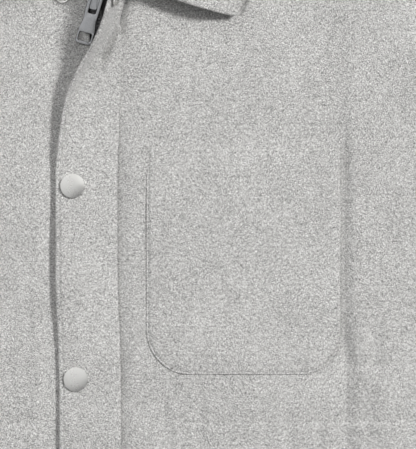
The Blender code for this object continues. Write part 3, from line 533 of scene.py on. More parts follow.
def make_front(name, side, material):
    outer = front_grid(side)
    thin = smooth(outer[..., 0], *UNDERLAP_STEP) * (side < 0)
    wall = mix(BODY_WALL, UNDERLAP_WALL, thin)
    inner = outer - grid_normals(outer) * side * wall[..., None]
    inner[..., 2] = np.maximum(inner[..., 2], BODY_WALL + LAY_GAP)
    rounded = ("low",) if side > 0 else ("low", "first")
    return shell(name, outer, inner, material, rounded)


def make_back(material):
    """The back panel, flat on the floor, with the neckline cut into its top row."""
    share, _, ends = panel_rows()
    keep = np.r_[0:len(share):2, len(share) - 1]
    share, ends = share[keep], ends[keep]
    columns = np.concatenate([np.linspace(0.0, 0.38, 30), np.linspace(0.38, 1.0, 30)[1:]])
    columns = np.concatenate([-columns[:0:-1], columns])
    plan = np.abs(columns) * SHOULDER_HALF
    slope = -SHOULDER_DROP * (plan - NECK_HALF) / (SHOULDER_HALF - NECK_HALF)
    scoop = -BACK_NECK_DROP * (1.0 - (plan / NECK_HALF) ** 2)
    rise = np.where(plan < NECK_HALF, scoop, slope) + SHOULDER_DROP
    x = columns[None, :] * ends[:, 0][:, None]
    y = ends[:, 1][:, None] + rise[None, :] * smooth(share, 0.0, 1.0)[:, None]
    outer = np.stack([x, y, np.full(x.shape, BODY_WALL)], axis=2)
    inner = outer - np.array([0.0, 0.0, BODY_WALL])
    return shell("back_cloth", outer, inner, material, ("low",))


# Placket flap

STITCH_IN = 0.0031


def edge_rise(y):
    """How far the fastened flap's free edge stands up: less at each stud, more between two."""
    held = sum(np.exp(-(((y + drop) / 0.022) ** 2)) for drop in STUD_DROPS[1:])
    rise = mix(EDGE_RISE, EDGE_RISE_LOW, smooth(-y, 0.285, 0.335))
    return rise * (1.08 - 0.30 * np.clip(held, 0.0, 1.0)) * (1.0 - smooth(y, LIFT_LOW, FLAT_HIGH))


def lift_values(y):
    """Where the lifted flap folds, how long the bend is, and how far it turns, for rows at heights y."""
    share = np.clip((y - LIFT_LOW) / (LIFT_HIGH - LIFT_LOW), 0.0, 1.0)
    fold, bend, turn = spline(LIFT_TABLE, share).T
    return np.maximum(0.0, fold), bend, turn


def flap_surface(distance, y):
    """Outer points of the flap at distances from its seam, for rows at heights y."""
    steps = 80
    share = np.linspace(0.0, 1.0, steps + 1)
    d = share[None, :] * PLACKET_WIDTH
    fold, bend, turn = lift_values(y)
    middle = (d[:, 1:] + d[:, :-1]) / 2
    turned = turn[:, None] * smooth(middle, fold[:, None], (fold + bend)[:, None])
    step = PLACKET_WIDTH / steps
    zero = np.zeros((len(y), 1))
    run = np.hstack([zero, np.cumsum(np.cos(turned), axis=1) * step])
    rise = np.hstack([zero, np.cumsum(np.sin(turned), axis=1) * step])
    seam = placket_seam_x(y)
    scale = mix(LIFT_SCALE, LIFT_SCALE_HIGH, smooth(y, -0.165, -0.145))
    points = np.zeros((len(y), len(distance), 3))
    for k in range(len(y)):
        points[k, :, 0] = seam[k] - np.interp(distance, d[0], run[k])
        lifted = scale[k] * np.interp(distance, d[0], rise[k])
        points[k, :, 2] = PLACKET_TOP + neck_lift(seam[k], y[k]) + lifted
    points[:, :, 1] = y[:, None]
    points[:, :, 2] += edge_rise(y)[:, None] * smooth(distance, RISE_START, PLACKET_WIDTH)[None, :]
    return points


def placket_relief(distance, y):
    """Dents of the flap: its edge stitching, the soft fall to its seam, and a dimple round each stud."""
    from_edge = PLACKET_WIDTH - distance
    dent = groove(from_edge, STITCH_IN, 0.0004)
    dent = dent + 0.0007 * (1.0 - smooth(distance, 0.0, 0.006))
    dent = dent + 0.0002 * (1.0 - smooth(from_edge, 0.0, 0.004))
    for drop in STUD_DROPS:
        gap = np.hypot(distance - PLACKET_SEAM_X, y + drop)
        dent = dent + 0.0005 * np.exp(-((gap / 0.0105) ** 2))
    fold = lift_values(np.asarray(y, float).ravel())[0].reshape(np.shape(y))
    offset = fold + FOLD_AHEAD * smooth(fold, 0.001, 0.004) - distance
    near = np.clip(1.0 - offset / 0.0078, 0.0, 1.0) ** 2 * (offset >= 0.0)
    beyond = np.clip(1.0 + offset / 0.0022, 0.0, 1.0) ** 2 * (offset < 0.0)
    dent = dent + FOLD_DIP * (near + beyond) * smooth(y, -0.162, -0.146)
    return dent - ripple(distance * 1.7, y, 0.00022)


def make_placket(material):
    plain = np.arange(-BODY_LENGTH + EDGE_INSET, SEEN_LOW, 0.005)
    y = np.concatenate([plain, np.arange(SEEN_LOW, -FRONT_NECK_DROP, 0.0018)])
    near_seam = np.linspace(0.0012, 0.008, 8)
    middle = np.linspace(0.008, 0.030, 20)[1:]
    near_edge = np.linspace(0.030, PLACKET_WIDTH - EDGE_INSET, 20)[1:]
    distance = np.concatenate([near_seam, middle, near_edge])[::-1]
    outer = flap_surface(distance, y)
    normals = grid_normals(outer)
    outer = outer - normals * placket_relief(distance[None, :], y[:, None])[..., None]
    wall = PLACKET_WALL - 0.0004
    inner = outer - normals * wall
    return shell("placket_cloth", outer, inner, material, ("low", "high", "first", "last"))


# Chest pocket

def pocket_distance(x, up):
    """Distance in from the pocket's edge, measured from its sides and its round bottom."""
    half = POCKET_WIDTH / 2
    aside = np.abs(x - POCKET_X - half) - (half - POCKET_CORNER)
    below = POCKET_CORNER - up
    corner = np.hypot(np.maximum(aside, 0.0), np.maximum(below, 0.0))
    return POCKET_CORNER - np.where((aside > 0.0) & (below > 0.0), corner, np.maximum(aside, below))


def right_rim_drop(x):
    """The pocket's right side bends down into the long step beside it."""
    return 0.0005 * smooth(x, POCKET_X + POCKET_WIDTH - 0.0055, POCKET_X + POCKET_WIDTH)


def pocket_height(x, up):
    """Outer surface of the pocket, at heights up from its bottom edge."""
    inside = pocket_distance(x, up)
    side_depth = mix(0.0003, 0.0008, smooth(x, POCKET_X + 0.08, POCKET_X + 0.12))
    top = FRONT_TOP + LAY_GAP + POCKET_WALL + ripple(x, up, 0.00020)
    top = top - groove(inside, 0.0018, side_depth, 0.0012)
    top = top - 0.0009 * np.clip(1.0 - (inside - 0.0012) / 0.0105, 0.0, 1.0) ** 2
    top = top - right_rim_drop(x) - pressed(x, up, POCKET_CREASES)
    return top - 0.0003 * (1.0 - smooth(POCKET_HEIGHT - up, 0.0, 0.0035)) * smooth(inside, 0.0, 0.004)


POCKET_CREASES = [
    # in the pocket's own plan, up from its bottom edge: first the line of the hem at its top
    (POCKET_X + 0.018, HEM_UP, POCKET_X + POCKET_WIDTH + 0.01, HEM_UP, 0.0005, 0.0055, 0.0010, 0.12),
    (0.0462, 0.124, 0.0462, 0.143, 0.001, 0.0014, 0.0028, 0.08),
    (0.066, 0.142, 0.064, 0.108, 0.0008, 0.005, 0.005),
    (0.118, 0.142, 0.122, 0.096, 0.0006, 0.005, 0.005),
    (0.149, 0.14, 0.152, 0.105, 0.0006, 0.004, 0.004),
    (0.052, 0.1, 0.054, 0.06, 0.0008, 0.006, 0.004),
    (0.06, 0.03, 0.082, 0.004, 0.0005, 0.005, 0.004),
    (0.09, 0.06, 0.098, 0.035, 0.0006, 0.005, 0.005),
    (0.126, 0.07, 0.116, 0.055, 0.0006, 0.004, 0.004),
]


def make_pocket(material):
    round_up = POCKET_CORNER * (1.0 - np.cos(np.linspace(0.0, math.pi / 2, 26)))
    up = np.concatenate([round_up, np.arange(POCKET_CORNER, POCKET_HEIGHT - 0.006, 0.0016)[1:]])
    up = np.concatenate([up, np.linspace(POCKET_HEIGHT - 0.005, POCKET_HEIGHT - 0.0005, 8)])
    inset = 0.0007
    low = np.clip(POCKET_CORNER - up, 0.0, None)
    short = POCKET_CORNER - np.sqrt(np.maximum(0.0, POCKET_CORNER**2 - low**2))
    left = POCKET_X + short + inset
    right = POCKET_X + POCKET_WIDTH - short - inset
    near = np.array([0.0, 0.003, 0.006, 0.009, 0.012, 0.015, 0.018, 0.022, 0.026, 0.030, 0.036, 0.044, 0.056])
    across = np.concatenate([near, np.linspace(0.07, 0.93, 64), (1.0 - near)[::-1]])
    x = mix(left[:, None], right[:, None], across[None, :])
    raised = np.maximum(up, 0.0007)
    z = pocket_height(x, raised[:, None])
    y = np.broadcast_to((-POCKET_TOP_DROP - POCKET_HEIGHT + raised)[:, None], x.shape)
    outer = np.stack([x, y, z], axis=2)
    inner = outer.copy()
    inner[..., 2] = FRONT_TOP + 0.0002 - right_rim_drop(x)
    return shell("pocket_cloth", outer, inner, material, ("low", "high", "first", "last"))


# Sleeves

SLEEVE_CREASES = {
    1: [
        # along the sleeve from the armhole, and across it from the outer fold
        (0.012, 0.035, 0.1, 0.12, 0.0022, 0.011, 0.008),
        (0.02, 0.11, 0.12, 0.175, 0.002, 0.009, 0.01),
        (0.06, 0.03, 0.18, 0.075, 0.0014, 0.012, 0.008),
        (0.215, 0.02, 0.275, 0.11, 0.0023, 0.01, 0.008),
        (0.262, 0.15, 0.31, 0.06, 0.0022, 0.009, 0.011),
        (0.318, 0.018, 0.352, 0.12, 0.0018, 0.008, 0.009),
        (0.4, 0.12, 0.47, 0.04, 0.0016, 0.01, 0.008),
        (0.5, 0.03, 0.59, 0.07, 0.0012, 0.009, 0.008),
    ],
    -1: [
        (0.01, 0.06, 0.115, 0.14, 0.0023, 0.01, 0.009),
        (0.035, 0.13, 0.13, 0.18, 0.0017, 0.01, 0.008),
        (0.08, 0.022, 0.165, 0.085, 0.0015, 0.009, 0.011),
        (0.235, 0.14, 0.285, 0.05, 0.0024, 0.009, 0.009),
        (0.275, 0.015, 0.33, 0.1, 0.002, 0.011, 0.008),
        (0.345, 0.13, 0.38, 0.045, 0.0016, 0.008, 0.01),
        (0.44, 0.02, 0.52, 0.095, 0.0015, 0.01, 0.008),
        (0.53, 0.1, 0.595, 0.06, 0.0011, 0.008, 0.008),
    ],
}
CUFF_STITCH = 0.025
FOLD_ZONE = 0.009


def armhole_path(count):
    """Even points of the armhole from shoulder to underarm, moved out by the seam gap."""
    points = bezier(ARMHOLE, np.linspace(1.0, 0.0, count))
    along = np.gradient(points, axis=0)
    out = np.stack([-along[:, 1], along[:, 0]], axis=1)
    return points + out / np.linalg.norm(out, axis=1, keepdims=True) * SEAM_GAP


def fold_round(near):
    """Half thickness of the folded edge's round, at a distance in from the fold."""
    return np.sqrt(np.maximum(0.0, FOLD_RADIUS**2 - np.clip(FOLD_RADIUS - near, 0.0, None) ** 2))


def sleeve_height(near, along, across, creases):
    """Outer height of the upper layer at a distance from the nearer fold."""
    top = mix(FRONT_TOP, FRONT_TOP - 0.0016, along / SLEEVE_LENGTH) + ripple(across, along, 0.00020)
    top = top - pressed(along, across, creases) * smooth(near, 0.002, 0.030)
    top = top - groove(SLEEVE_LENGTH - along, CUFF_STITCH)
    base = 2.0 * FOLD_RADIUS
    flat = base + (top - base) * smooth(near, FOLD_RADIUS, 0.045)
    return np.where(near < FOLD_RADIUS, FOLD_RADIUS + fold_round(near), flat)


def sleeve_ring(plan, high, low):
    """One ring of points: out along the upper layer and back along the lower one."""
    return np.vstack([np.column_stack([plan, high]), np.column_stack([plan, low])[-2:0:-1]])


def make_sleeve(name, side, material):
    """A flat tube from the armhole to the cuff."""
    path = armhole_path(160)
    lengths = path_lengths(path)
    head = lengths[-1]
    ends = np.array([0.0, 0.0002, 0.0006, 0.0012, 0.002, 0.003, 0.0045, 0.0065, FOLD_ZONE])
    middle = np.linspace(FOLD_ZONE, head - FOLD_ZONE, 58)[1:-1]
    stations = np.concatenate([ends, middle, (head - ends)[::-1]])
    chord = path[-1] - path[0]
    chord_length = np.linalg.norm(chord)
    axis = np.array([math.sin(SLEEVE_ANGLE), -math.cos(SLEEVE_ANGLE)])
    cuff_out = path[0] + axis * SLEEVE_LENGTH
    cuff_in = cuff_out + np.array([axis[1], -axis[0]]) * CUFF_WIDTH

    def across_sleeve(width):
        inner = mix(FOLD_ZONE, width - FOLD_ZONE, (stations - FOLD_ZONE) / (head - 2.0 * FOLD_ZONE))
        low = np.where(stations <= FOLD_ZONE, stations, inner)
        return np.where(stations >= head - FOLD_ZONE, width - (head - stations), low)

    on_path = np.stack([np.interp(stations, lengths, path[:, k]) for k in range(2)], axis=1)
    bends = on_path - (path[0] + chord / chord_length * across_sleeve(chord_length)[:, None])
    creases = SLEEVE_CREASES[side]
    outer_rings, inner_rings = [], []
    for share in np.linspace(0.0, 1.0, 121):
        start, end = mix(path[0], cuff_out, share), mix(path[-1], cuff_in, share)
        width = np.linalg.norm(end - start)
        heading = (end - start) / width
        across = across_sleeve(width)
        place = start + heading * across[:, None] + bends * (1.0 - smooth(share, 0.0, 0.45))
        near = np.minimum(across, width - across)
        along = share * SLEEVE_LENGTH
        top, low = sleeve_height(near, along, across, creases), FOLD_RADIUS - fold_round(near)
        inner_near = np.where(near < FOLD_ZONE, BODY_WALL + near * (1.0 - BODY_WALL / FOLD_ZONE), near)
        shift = heading * ((inner_near - near) * np.where(across < width / 2, 1.0, -1.0))[:, None]
        part = smooth(near, 0.0, 0.0008)
        top_in = sleeve_height(inner_near, along, across, creases) - BODY_WALL
        top_in = mix(FOLD_RADIUS, np.maximum(top_in, BODY_WALL + LAY_GAP), part)
        low_in = mix(FOLD_RADIUS, BODY_WALL, part)
        outer_rings.append(sleeve_ring(place, top, low))
        inner_rings.append(sleeve_ring(place + shift, top_in, low_in))
    mirror = np.array([side, 1.0, 1.0])
    return tube(name, np.array(outer_rings) * mirror, np.array(inner_rings) * mirror, material)


# Collar

COLLAR_TABLE = [
    # seam on the neckline, top of the stand, edge of the leaf, from the left front round the back
    ((0.0235, -0.1005, 0.04), (0.0245, -0.0985, 0.0455), (0.1008, -0.1222, 0.0124)),
    ((0.035, -0.0985, 0.0215), (0.036, -0.092, 0.035), (0.118, -0.09, 0.0122)),
    ((0.053, -0.088, 0.0125), (0.054, -0.077, 0.03), (0.134, -0.06, 0.0122)),
    ((0.072, -0.069, 0.0102), (0.0715, -0.054, 0.029), (0.146, -0.034, 0.0122)),
    ((0.087, -0.036, 0.01), (0.083, -0.026, 0.031), (0.154, -0.01, 0.011)),
    ((0.0925, -0.0035, 0.008), (0.088, 0.004, 0.033), (0.154, 0.018, 0.0062)),
    ((0.077, -0.007, 0.0042), (0.0765, 0.013, 0.032), (0.135, 0.04, 0.0036)),
    ((0.052, -0.015, 0.004), (0.055, 0.012, 0.0305), (0.099, 0.053, 0.0034)),
    ((0.026, -0.02, 0.004), (0.029, 0.009, 0.029), (0.051, 0.059, 0.0034)),
    ((0.0, -0.0215, 0.004), (0.0, 0.008, 0.0285), (0.0, 0.061, 0.0034)),
]
COLLAR_RIGHT = [
    # the same for the right front's end, which lies lower, from its third row to its end
    ((-0.05, -0.09, 0.01), (-0.0505, -0.078, 0.026), (-0.129, -0.066, 0.0122)),
    ((-0.027, -0.0985, 0.0096), (-0.028, -0.0905, 0.0205), (-0.108, -0.096, 0.0122)),
    ((-0.007, -0.101, 0.0092), (-0.0065, -0.097, 0.015), (-0.083, -0.126, 0.0124)),
]
ROLL_RADIUS = 0.0050
LEAF_BULGE = 0.0035
FRONT_BOW = 0.0034
FRONT_SAG = [
    # how much the leaf's front edge lies below a straight line from its roll to its point, at even steps
    0.0, 0.0050, 0.0078, 0.0088, 0.0078, 0.0062, 0.0040, 0.0016, -0.0002, 0.0006, 0.0004,
]
COLLAR_STITCH = 0.0055
COLLAR_SECTIONS = 181
LEAF_RIM = 0.0012


def collar_lines(count):
    """Seam, roll and edge points of sections round the neck."""
    mirrored = [[(-x, y, z) for x, y, z in row] for row in reversed(COLLAR_TABLE[3:-1])]
    rows = np.array(COLLAR_TABLE + mirrored + COLLAR_RIGHT)
    return [spline(rows[:, part], np.linspace(0.0, 1.0, count)) for part in range(3)]


def collar_leaf_grid(count):
    """Outer points of the leaf, over its roll and down to its edge."""
    rows = []
    for seam, roll, edge in zip(*collar_lines(count)):
        up = unit(roll - seam)
        away = edge - roll
        out = unit(away - up * away.dot(up))
        fall = math.atan2(away.dot(out), away.dot(up))
        start = roll + up * LAY_GAP
        turned = np.linspace(0.0, fall, 12)[:, None]
        arc = start + (up * np.sin(turned) + out * (1.0 - np.cos(turned))) * ROLL_RADIUS
        bulge = unit(np.cross(np.cross(out, up), edge - arc[-1]))
        bulge = bulge if bulge[2] > 0.0 else -bulge
        reach = np.linalg.norm(edge - arc[-1])
        plain = np.linspace(0.0, 1.0, 22)[1:-1] * (1.0 - 0.014 / reach)
        fine = 1.0 - np.linspace(0.014, LEAF_RIM, 14) / reach
        share = np.concatenate([plain, fine])[:, None]
        front = 1.0 - smooth(len(rows), 0, count // 9)
        swell = bulge * LEAF_BULGE * (1.0 - front) * np.sin(math.pi * share)
        leaf = arc[-1] + (edge - arc[-1]) * share + swell
        leaf[:, 1] -= FRONT_BOW * front * np.sin(math.pi * share[:, 0])
        leaf[:, 2] -= front * spline(np.array(FRONT_SAG)[:, None], share[:, 0])[:, 0]
        rows.append(np.vstack([arc, leaf]))
    return np.array(rows)


def make_collar(material):
    outer = collar_leaf_grid(COLLAR_SECTIONS)
    normals = grid_normals(outer)
    reach = np.linalg.norm(np.diff(outer, axis=1), axis=2)
    from_edge = np.hstack([np.cumsum(reach[:, ::-1], axis=1)[:, ::-1], np.zeros((len(outer), 1))]) + LEAF_RIM
    along = np.linalg.norm(np.diff(outer, axis=0), axis=2)
    down = np.vstack([np.zeros((1, outer.shape[1])), np.cumsum(along, axis=0)])
    from_end = np.minimum(down, down[-1] - down) + LEAF_RIM
    leaf_part = smooth(np.arange(outer.shape[1]), 10, 16)[None, :]
    inside = np.minimum(from_edge, from_end)
    dent = groove(inside, COLLAR_STITCH, 0.0004, 0.0013) + 0.0003 * (1.0 - smooth(inside, 0.0, 0.010))
    waves = ripple(outer[..., 0], outer[..., 1] + outer[..., 2], 0.00025)
    outer = outer + normals * (dent * leaf_part - waves)[..., None]
    inner = outer + normals * COLLAR_WALL
    leaf = shell("collar_leaf_cloth", outer, inner, material, ("low", "high", "last"))
    seam, roll, _ = collar_lines(121)
    share = np.linspace(0.0, 1.0, 12)[None, :, None]
    stand_outer = mix(seam[:, None, :], roll[:, None, :], share)
    stand_inner = stand_outer + grid_normals(stand_outer) * STAND_WALL
    stand = shell("collar_stand_cloth", stand_outer, stand_inner, material, ("low", "high"))
    return leaf, stand


# Sewing: rows of short threads along a line, made as one mesh

def stitch_row(name, path, lift, material, ways=None):
    """Stitches along a path of points, each a short low arch that dips at both ends."""
    lengths = path_lengths(path)
    ways = np.broadcast_to([0.0, 0.0, 1.0], path.shape) if ways is None else ways
    pitch = STITCH_LENGTH + STITCH_GAP
    arch = np.array([-0.9, 0.35, 0.6, 0.35, -0.9])[:, None] * THREAD_RADIUS
    angles = 2.0 * math.pi * np.arange(THREAD_SIDES) / THREAD_SIDES
    vertices, faces = [], []
    for k in range(int(lengths[-1] / pitch)):
        at = k * pitch + np.linspace(0.0, STITCH_LENGTH, len(arch))
        centre = np.stack([np.interp(at, lengths, path[:, c]) for c in range(3)], axis=1)
        up = np.stack([np.interp(at, lengths, ways[:, c]) for c in range(3)], axis=1)
        up = up / np.linalg.norm(up, axis=1, keepdims=True)
        centre = centre + up * (arch + lift)
        along = unit(centre[-1] - centre[0])
        base = len(vertices)
        for p, u in zip(centre, up):
            side = unit(np.cross(along, u))
            vertices += [p + (side * math.cos(a) + u * math.sin(a)) * THREAD_RADIUS for a in angles]
        rings = base + np.arange(len(vertices) - base).reshape(len(arch), THREAD_SIDES)
        for low, high in zip(rings, rings[1:]):
            faces += np.stack([low, np.roll(low, -1), np.roll(high, -1), high], axis=1).tolist()
        faces += [rings[0, ::-1].tolist(), rings[-1].tolist()]
    data = bpy.data.meshes.new(name)
    data.from_pydata(placed(np.array(vertices)).tolist(), [], faces)
    data.shade_smooth()
    return add_object(name, data, material)


def on_pocket(plan):
    """Plan points, up from the pocket's bottom edge, set on its surface."""
    x, up = np.array(plan).T
    return np.column_stack([x, up - POCKET_TOP_DROP - POCKET_HEIGHT, pocket_height(x, up)])


def pocket_outline():
    """Down the left side, round the bottom and up the right side, inside the pocket's edge."""
    left, right = POCKET_X + SEWING_INSET, POCKET_X + POCKET_WIDTH - RIGHT_INSET
    top, radius = POCKET_HEIGHT - 0.001, POCKET_CORNER - SEWING_INSET
    turn = np.linspace(0.0, math.pi / 2, 20)
    first = np.column_stack([left + radius - radius * np.cos(turn), POCKET_CORNER - radius * np.sin(turn)])
    second = np.column_stack([right - radius + radius * np.sin(turn), POCKET_CORNER - radius * np.cos(turn)])
    down = line((left, top), (left, POCKET_CORNER), 40)
    return np.vstack([down, first, second, line((right, POCKET_CORNER), (right, top), 40)])


def pocket_box():
    """The short box of stitches that holds the pocket's upper left corner."""
    left = POCKET_X + SEWING_INSET
    corners = [(0.0036, 0.0010), (0.0036, 0.0100), (0.0046, 0.0175), (0.0, 0.0172)]
    corners = [(left + aside, POCKET_HEIGHT - down) for aside, down in corners]
    return np.vstack([line(start, end, 12) for start, end in zip(corners, corners[1:])])


def pocket_sewing(thread):
    hem = line((POCKET_X + 0.003, HEM_UP), (POCKET_X + POCKET_WIDTH - 0.003, HEM_UP))
    plans = {
        "pocket_stitches": pocket_outline(),
        "pocket_bar_stitches": pocket_box(),
        "pocket_hem_stitches": hem,
    }
    return [stitch_row(name, on_pocket(plan), 0.0, thread) for name, plan in plans.items()]


def placket_sewing(thread):
    y = np.arange(-BODY_LENGTH + 0.003, -FRONT_NECK_DROP - 0.002, 0.0025)
    distance = PLACKET_WIDTH - STITCH_IN + np.array([0.0005, 0.0, -0.0005])
    strip = flap_surface(distance, y)
    normals = grid_normals(strip)
    sewn = strip - normals * placket_relief(distance[None, :], y[:, None])[..., None]
    return [stitch_row("placket_stitches", sewn[:, 1], 0.0, thread, normals[:, 1])]


def hem_sewing(name, side, thread):
    edge_x = mix(HEM_HALF, CHEST_HALF, HEM_STITCH / (BODY_LENGTH - UNDERARM_DROP))
    start = PLACKET_SEAM_X + 0.004 if side > 0 else UNDERLAP_EDGE - ZIP_X + 0.002
    height = -BODY_LENGTH + HEM_STITCH
    x, y = line((side * start, height), (side * (edge_x - 0.004), height)).T
    path = np.column_stack([x, y, front_height(x, y, side, edge_x - np.abs(x), 0.0)])
    return [stitch_row(name, path, 0.0, thread)]


def collar_sewing(thread):
    leaf = collar_leaf_grid(COLLAR_SECTIONS)
    ways = -grid_normals(leaf)
    row = leaf.shape[1] - 7
    return [stitch_row("collar_stitches", leaf[4:-4, row], -0.0002, thread, ways[4:-4, row])]


def make_sewing(thread):
    """Topstitching, by the cloth piece that it holds."""
    return {
        "pocket": pocket_sewing(thread),
        "placket": placket_sewing(thread),
        "front_left": hem_sewing("hem_stitches_left", 1, thread),
        "front_right": hem_sewing("hem_stitches_right", -1, thread),
        "collar_leaf": collar_sewing(thread),
    }


# Hardware

def turned(name, profile, steps, material, place, up, smooth_angle=35.0):
    """A profile of (radius, height) turned about its axis and stood on a surface."""
    mesh = bmesh.new()
    verts = [mesh.verts.new((r, 0.0, h)) for r, h in profile]
    edges = [mesh.edges.new(pair) for pair in zip(verts, verts[1:])]
    turn = {"axis": (0, 0, 1), "cent": (0, 0, 0), "steps": steps, "angle": 2 * math.pi}
    bmesh.ops.spin(mesh, geom=verts + edges, use_merge=True, **turn)
    bmesh.ops.remove_doubles(mesh, verts=mesh.verts, dist=1e-6)
    bmesh.ops.recalc_face_normals(mesh, faces=mesh.faces)
    data = mesh_data(name, mesh)
    data.shade_smooth()
    data.set_sharp_from_angle(angle=math.radians(smooth_angle))
    piece = add_object(name, data, material)
    piece.rotation_mode = "QUATERNION"
    piece.rotation_quaternion = Vector(up).to_track_quat("Z", "Y")
    piece.location = placed(np.array(place))
    return piece


def cap_profile():
    """A low dome over a rolled rim."""
    radius = CAP_RADIUS - 0.0001
    points = [(0.0, 0.0), (radius - 0.0010, 0.0)]
    for a in np.radians(np.linspace(-90.0, 42.0, 12)):
        side = CAP_SIDE if a > 0.0 else CAP_ROLL
        points.append((radius - CAP_ROLL + CAP_ROLL * math.cos(a), side + CAP_ROLL * math.sin(a)))
    edge_radius, edge_height = points[-1]
    for share in np.linspace(1.0, 0.0, 15)[1:]:
        points.append((edge_radius * share, edge_height + CAP_DOME * (1.0 - share**2)))
    return points


STUD_PROFILE = [
    # radius and height, from under the rim, over it, down into the ring and up round the ball
    (0.0, 0.0), (0.0044, 0.0), (0.0049, 0.0003), (0.0050, 0.0007), (0.0048, 0.0011),
    (0.0044, 0.0012), (0.0039, 0.0010), (0.0034, 0.0006), (0.0026, 0.0006), (0.0022, 0.0010),
    (0.0021, 0.0020), (0.0023, 0.0026), (0.0020, 0.0030), (0.0012, 0.0030), (0.0009, 0.0026), (0.0, 0.0026),
]


def make_studs(nickel):
    made = []
    for number, drop in enumerate(STUD_DROPS, 1):
        spread = np.array([PLACKET_SEAM_X + 0.002, PLACKET_SEAM_X, PLACKET_SEAM_X - 0.002])
        patch = flap_surface(spread, np.array([-drop - 0.002, -drop, -drop + 0.002]))
        up = grid_normals(patch)[1, 1]
        dent = CAP_SINK if number > 1 else 0.0
        place = patch[1, 1] + up * (LAY_GAP - dent)
        cap = turned(f"stud_cap_{number}_metal", cap_profile(), 64, nickel, place, up)
        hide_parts(f"stud_cap_{number}")
        made.append(cap)
    low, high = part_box("stud_post")
    place = ((low.x + high.x) / 2, (low.y + high.y) / 2 - POINT_Y, low.z)
    post = turned("stud_post_metal", STUD_PROFILE, 48, nickel, place, (0.0, 0.0, 1.0), 50.0)
    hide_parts("stud_post")
    return made + [post]


def weld_copy(node, name, material, width):
    """A copy of a frame node's form with its edges rounded."""
    mesh = bmesh.new()
    mesh.from_mesh(frame["nodes"][node].data)
    bmesh.ops.remove_doubles(mesh, verts=mesh.verts, dist=1e-5)
    bmesh.ops.dissolve_limit(mesh, angle_limit=math.radians(1.0), verts=mesh.verts, edges=mesh.edges)
    piece = add_object(name, mesh_data(name, mesh), material)
    bevel = piece.modifiers.new("edges", "BEVEL")
    bevel.width = width
    bevel.segments = 3
    bevel.limit_method = "ANGLE"
    bevel.angle_limit = math.radians(35.0)
    bevel.harden_normals = True
    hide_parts(node)
    return piece


# Pull tab, from its own outline with rounded edges

HINGE = Vector(frame["joints"][0]["pos_m"])
PULL_TILT = math.radians(16.2)
PULL_LENGTH = 0.0315
PULL_TOP_HALF = 0.0046
PULL_NECK_HALF = 0.0042
PULL_LOW_HALF = 0.0053
PULL_WALL = 0.0014
SLOT_HALF = 0.0024
SLOT_END = -0.0118
WINDOW = (0.0040, -0.0297, -0.0242)
BAR_RADIUS = 0.0007
PULL_BEVEL = 0.00034


def rounded_outline(corners, steps=6):
    """Corners as (x, y, radius), each replaced with an arc."""
    points = []
    for k, (x, y, radius) in enumerate(corners):
        here = np.array([x, y])
        before = unit(np.array(corners[k - 1][:2]) - here)
        after = unit(np.array(corners[(k + 1) % len(corners)][:2]) - here)
        half = math.acos(np.clip(before.dot(after), -1.0, 1.0)) / 2
        centre = here + unit(before + after) * radius / math.sin(half)
        reach = radius / math.tan(half)
        start = here + before * reach - centre
        end = here + after * reach - centre
        for share in np.linspace(0.0, 1.0, steps + 1):
            points.append(centre + unit(mix(start, end, share)) * radius)
    return points


def box_outline(half, bottom, top, radius):
    corners = ((-half, bottom), (half, bottom), (half, top), (-half, top))
    return rounded_outline([(x, y, radius) for x, y in corners])


def plate_mesh(name, outlines, thickness, bevel):
    """A flat plate with holes and rounded edges, from outlines in plan."""
    curve = bpy.data.curves.new(name, "CURVE")
    curve.dimensions = "2D"
    curve.fill_mode = "BOTH"
    curve.extrude = thickness / 2 - bevel
    curve.bevel_depth = bevel
    curve.bevel_resolution = 3
    curve.offset = -bevel
    for outline in outlines:
        edge = curve.splines.new("POLY")
        edge.points.add(len(outline) - 1)
        edge.use_cyclic_u = True
        for point, (x, y) in zip(edge.points, outline):
            point.co = (x, y, 0.0, 1.0)
    holder = add_object(name, curve)
    bpy.context.view_layer.update()
    data = bpy.data.meshes.new_from_object(holder.evaluated_get(bpy.context.evaluated_depsgraph_get()))
    bpy.data.objects.remove(holder)
    return data


def make_pull(zinc):
    low, neck, top = PULL_LOW_HALF, PULL_NECK_HALF, PULL_TOP_HALF
    right = [
        (low, -PULL_LENGTH, 0.0014), (low, -0.0225, 0.004), (neck, -0.0165, 0.004), (top, -0.0090, 0.004),
        (top, BAR_RADIUS, 0.0005), (SLOT_HALF, BAR_RADIUS, 0.0005), (SLOT_HALF, SLOT_END, 0.0008),
    ]
    left = [(-x, y, radius) for x, y, radius in reversed(right)]
    outline = rounded_outline(left[-1:] + right + left[:-1])
    data = plate_mesh("zip_pull_metal", [outline, box_outline(*WINDOW, 0.0009)], PULL_WALL, PULL_BEVEL)
    mesh = bmesh.new()
    mesh.from_mesh(data)
    bar = {"radius1": BAR_RADIUS * 0.96, "radius2": BAR_RADIUS * 0.96, "depth": 2.0 * SLOT_HALF + 0.0012}
    bmesh.ops.create_cone(mesh, segments=20, matrix=Matrix.Rotation(math.pi / 2, 4, "Y"), **bar)
    bmesh.ops.remove_doubles(mesh, verts=mesh.verts, dist=1e-6)
    place = Matrix.Translation(HINGE) @ Matrix.Rotation(-PULL_TILT, 4, "Z")
    bmesh.ops.transform(mesh, matrix=place, verts=mesh.verts)
    mesh.to_mesh(data)
    mesh.free()
    data.shade_smooth()
    data.set_sharp_from_angle(angle=math.radians(38.0))
    data.materials.clear()
    piece = add_object("zip_pull_metal", data, zinc)
    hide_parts("zip_pull")
    return piece


# Zip teeth: two rows of small blocks that reach between each other

TOOTH_PITCH = 0.0021
TOOTH_LENGTH = 0.0036
TOOTH_WIDTH = 0.00135
TOOTH_LOW = 0.0038
TOOTH_HIGH = 0.0053
TOOTH_TAPER = 0.35
CHAIN_HALF = 0.0030
CHAIN_TOP = -0.1125
CHAIN_BOTTOM = -0.7515


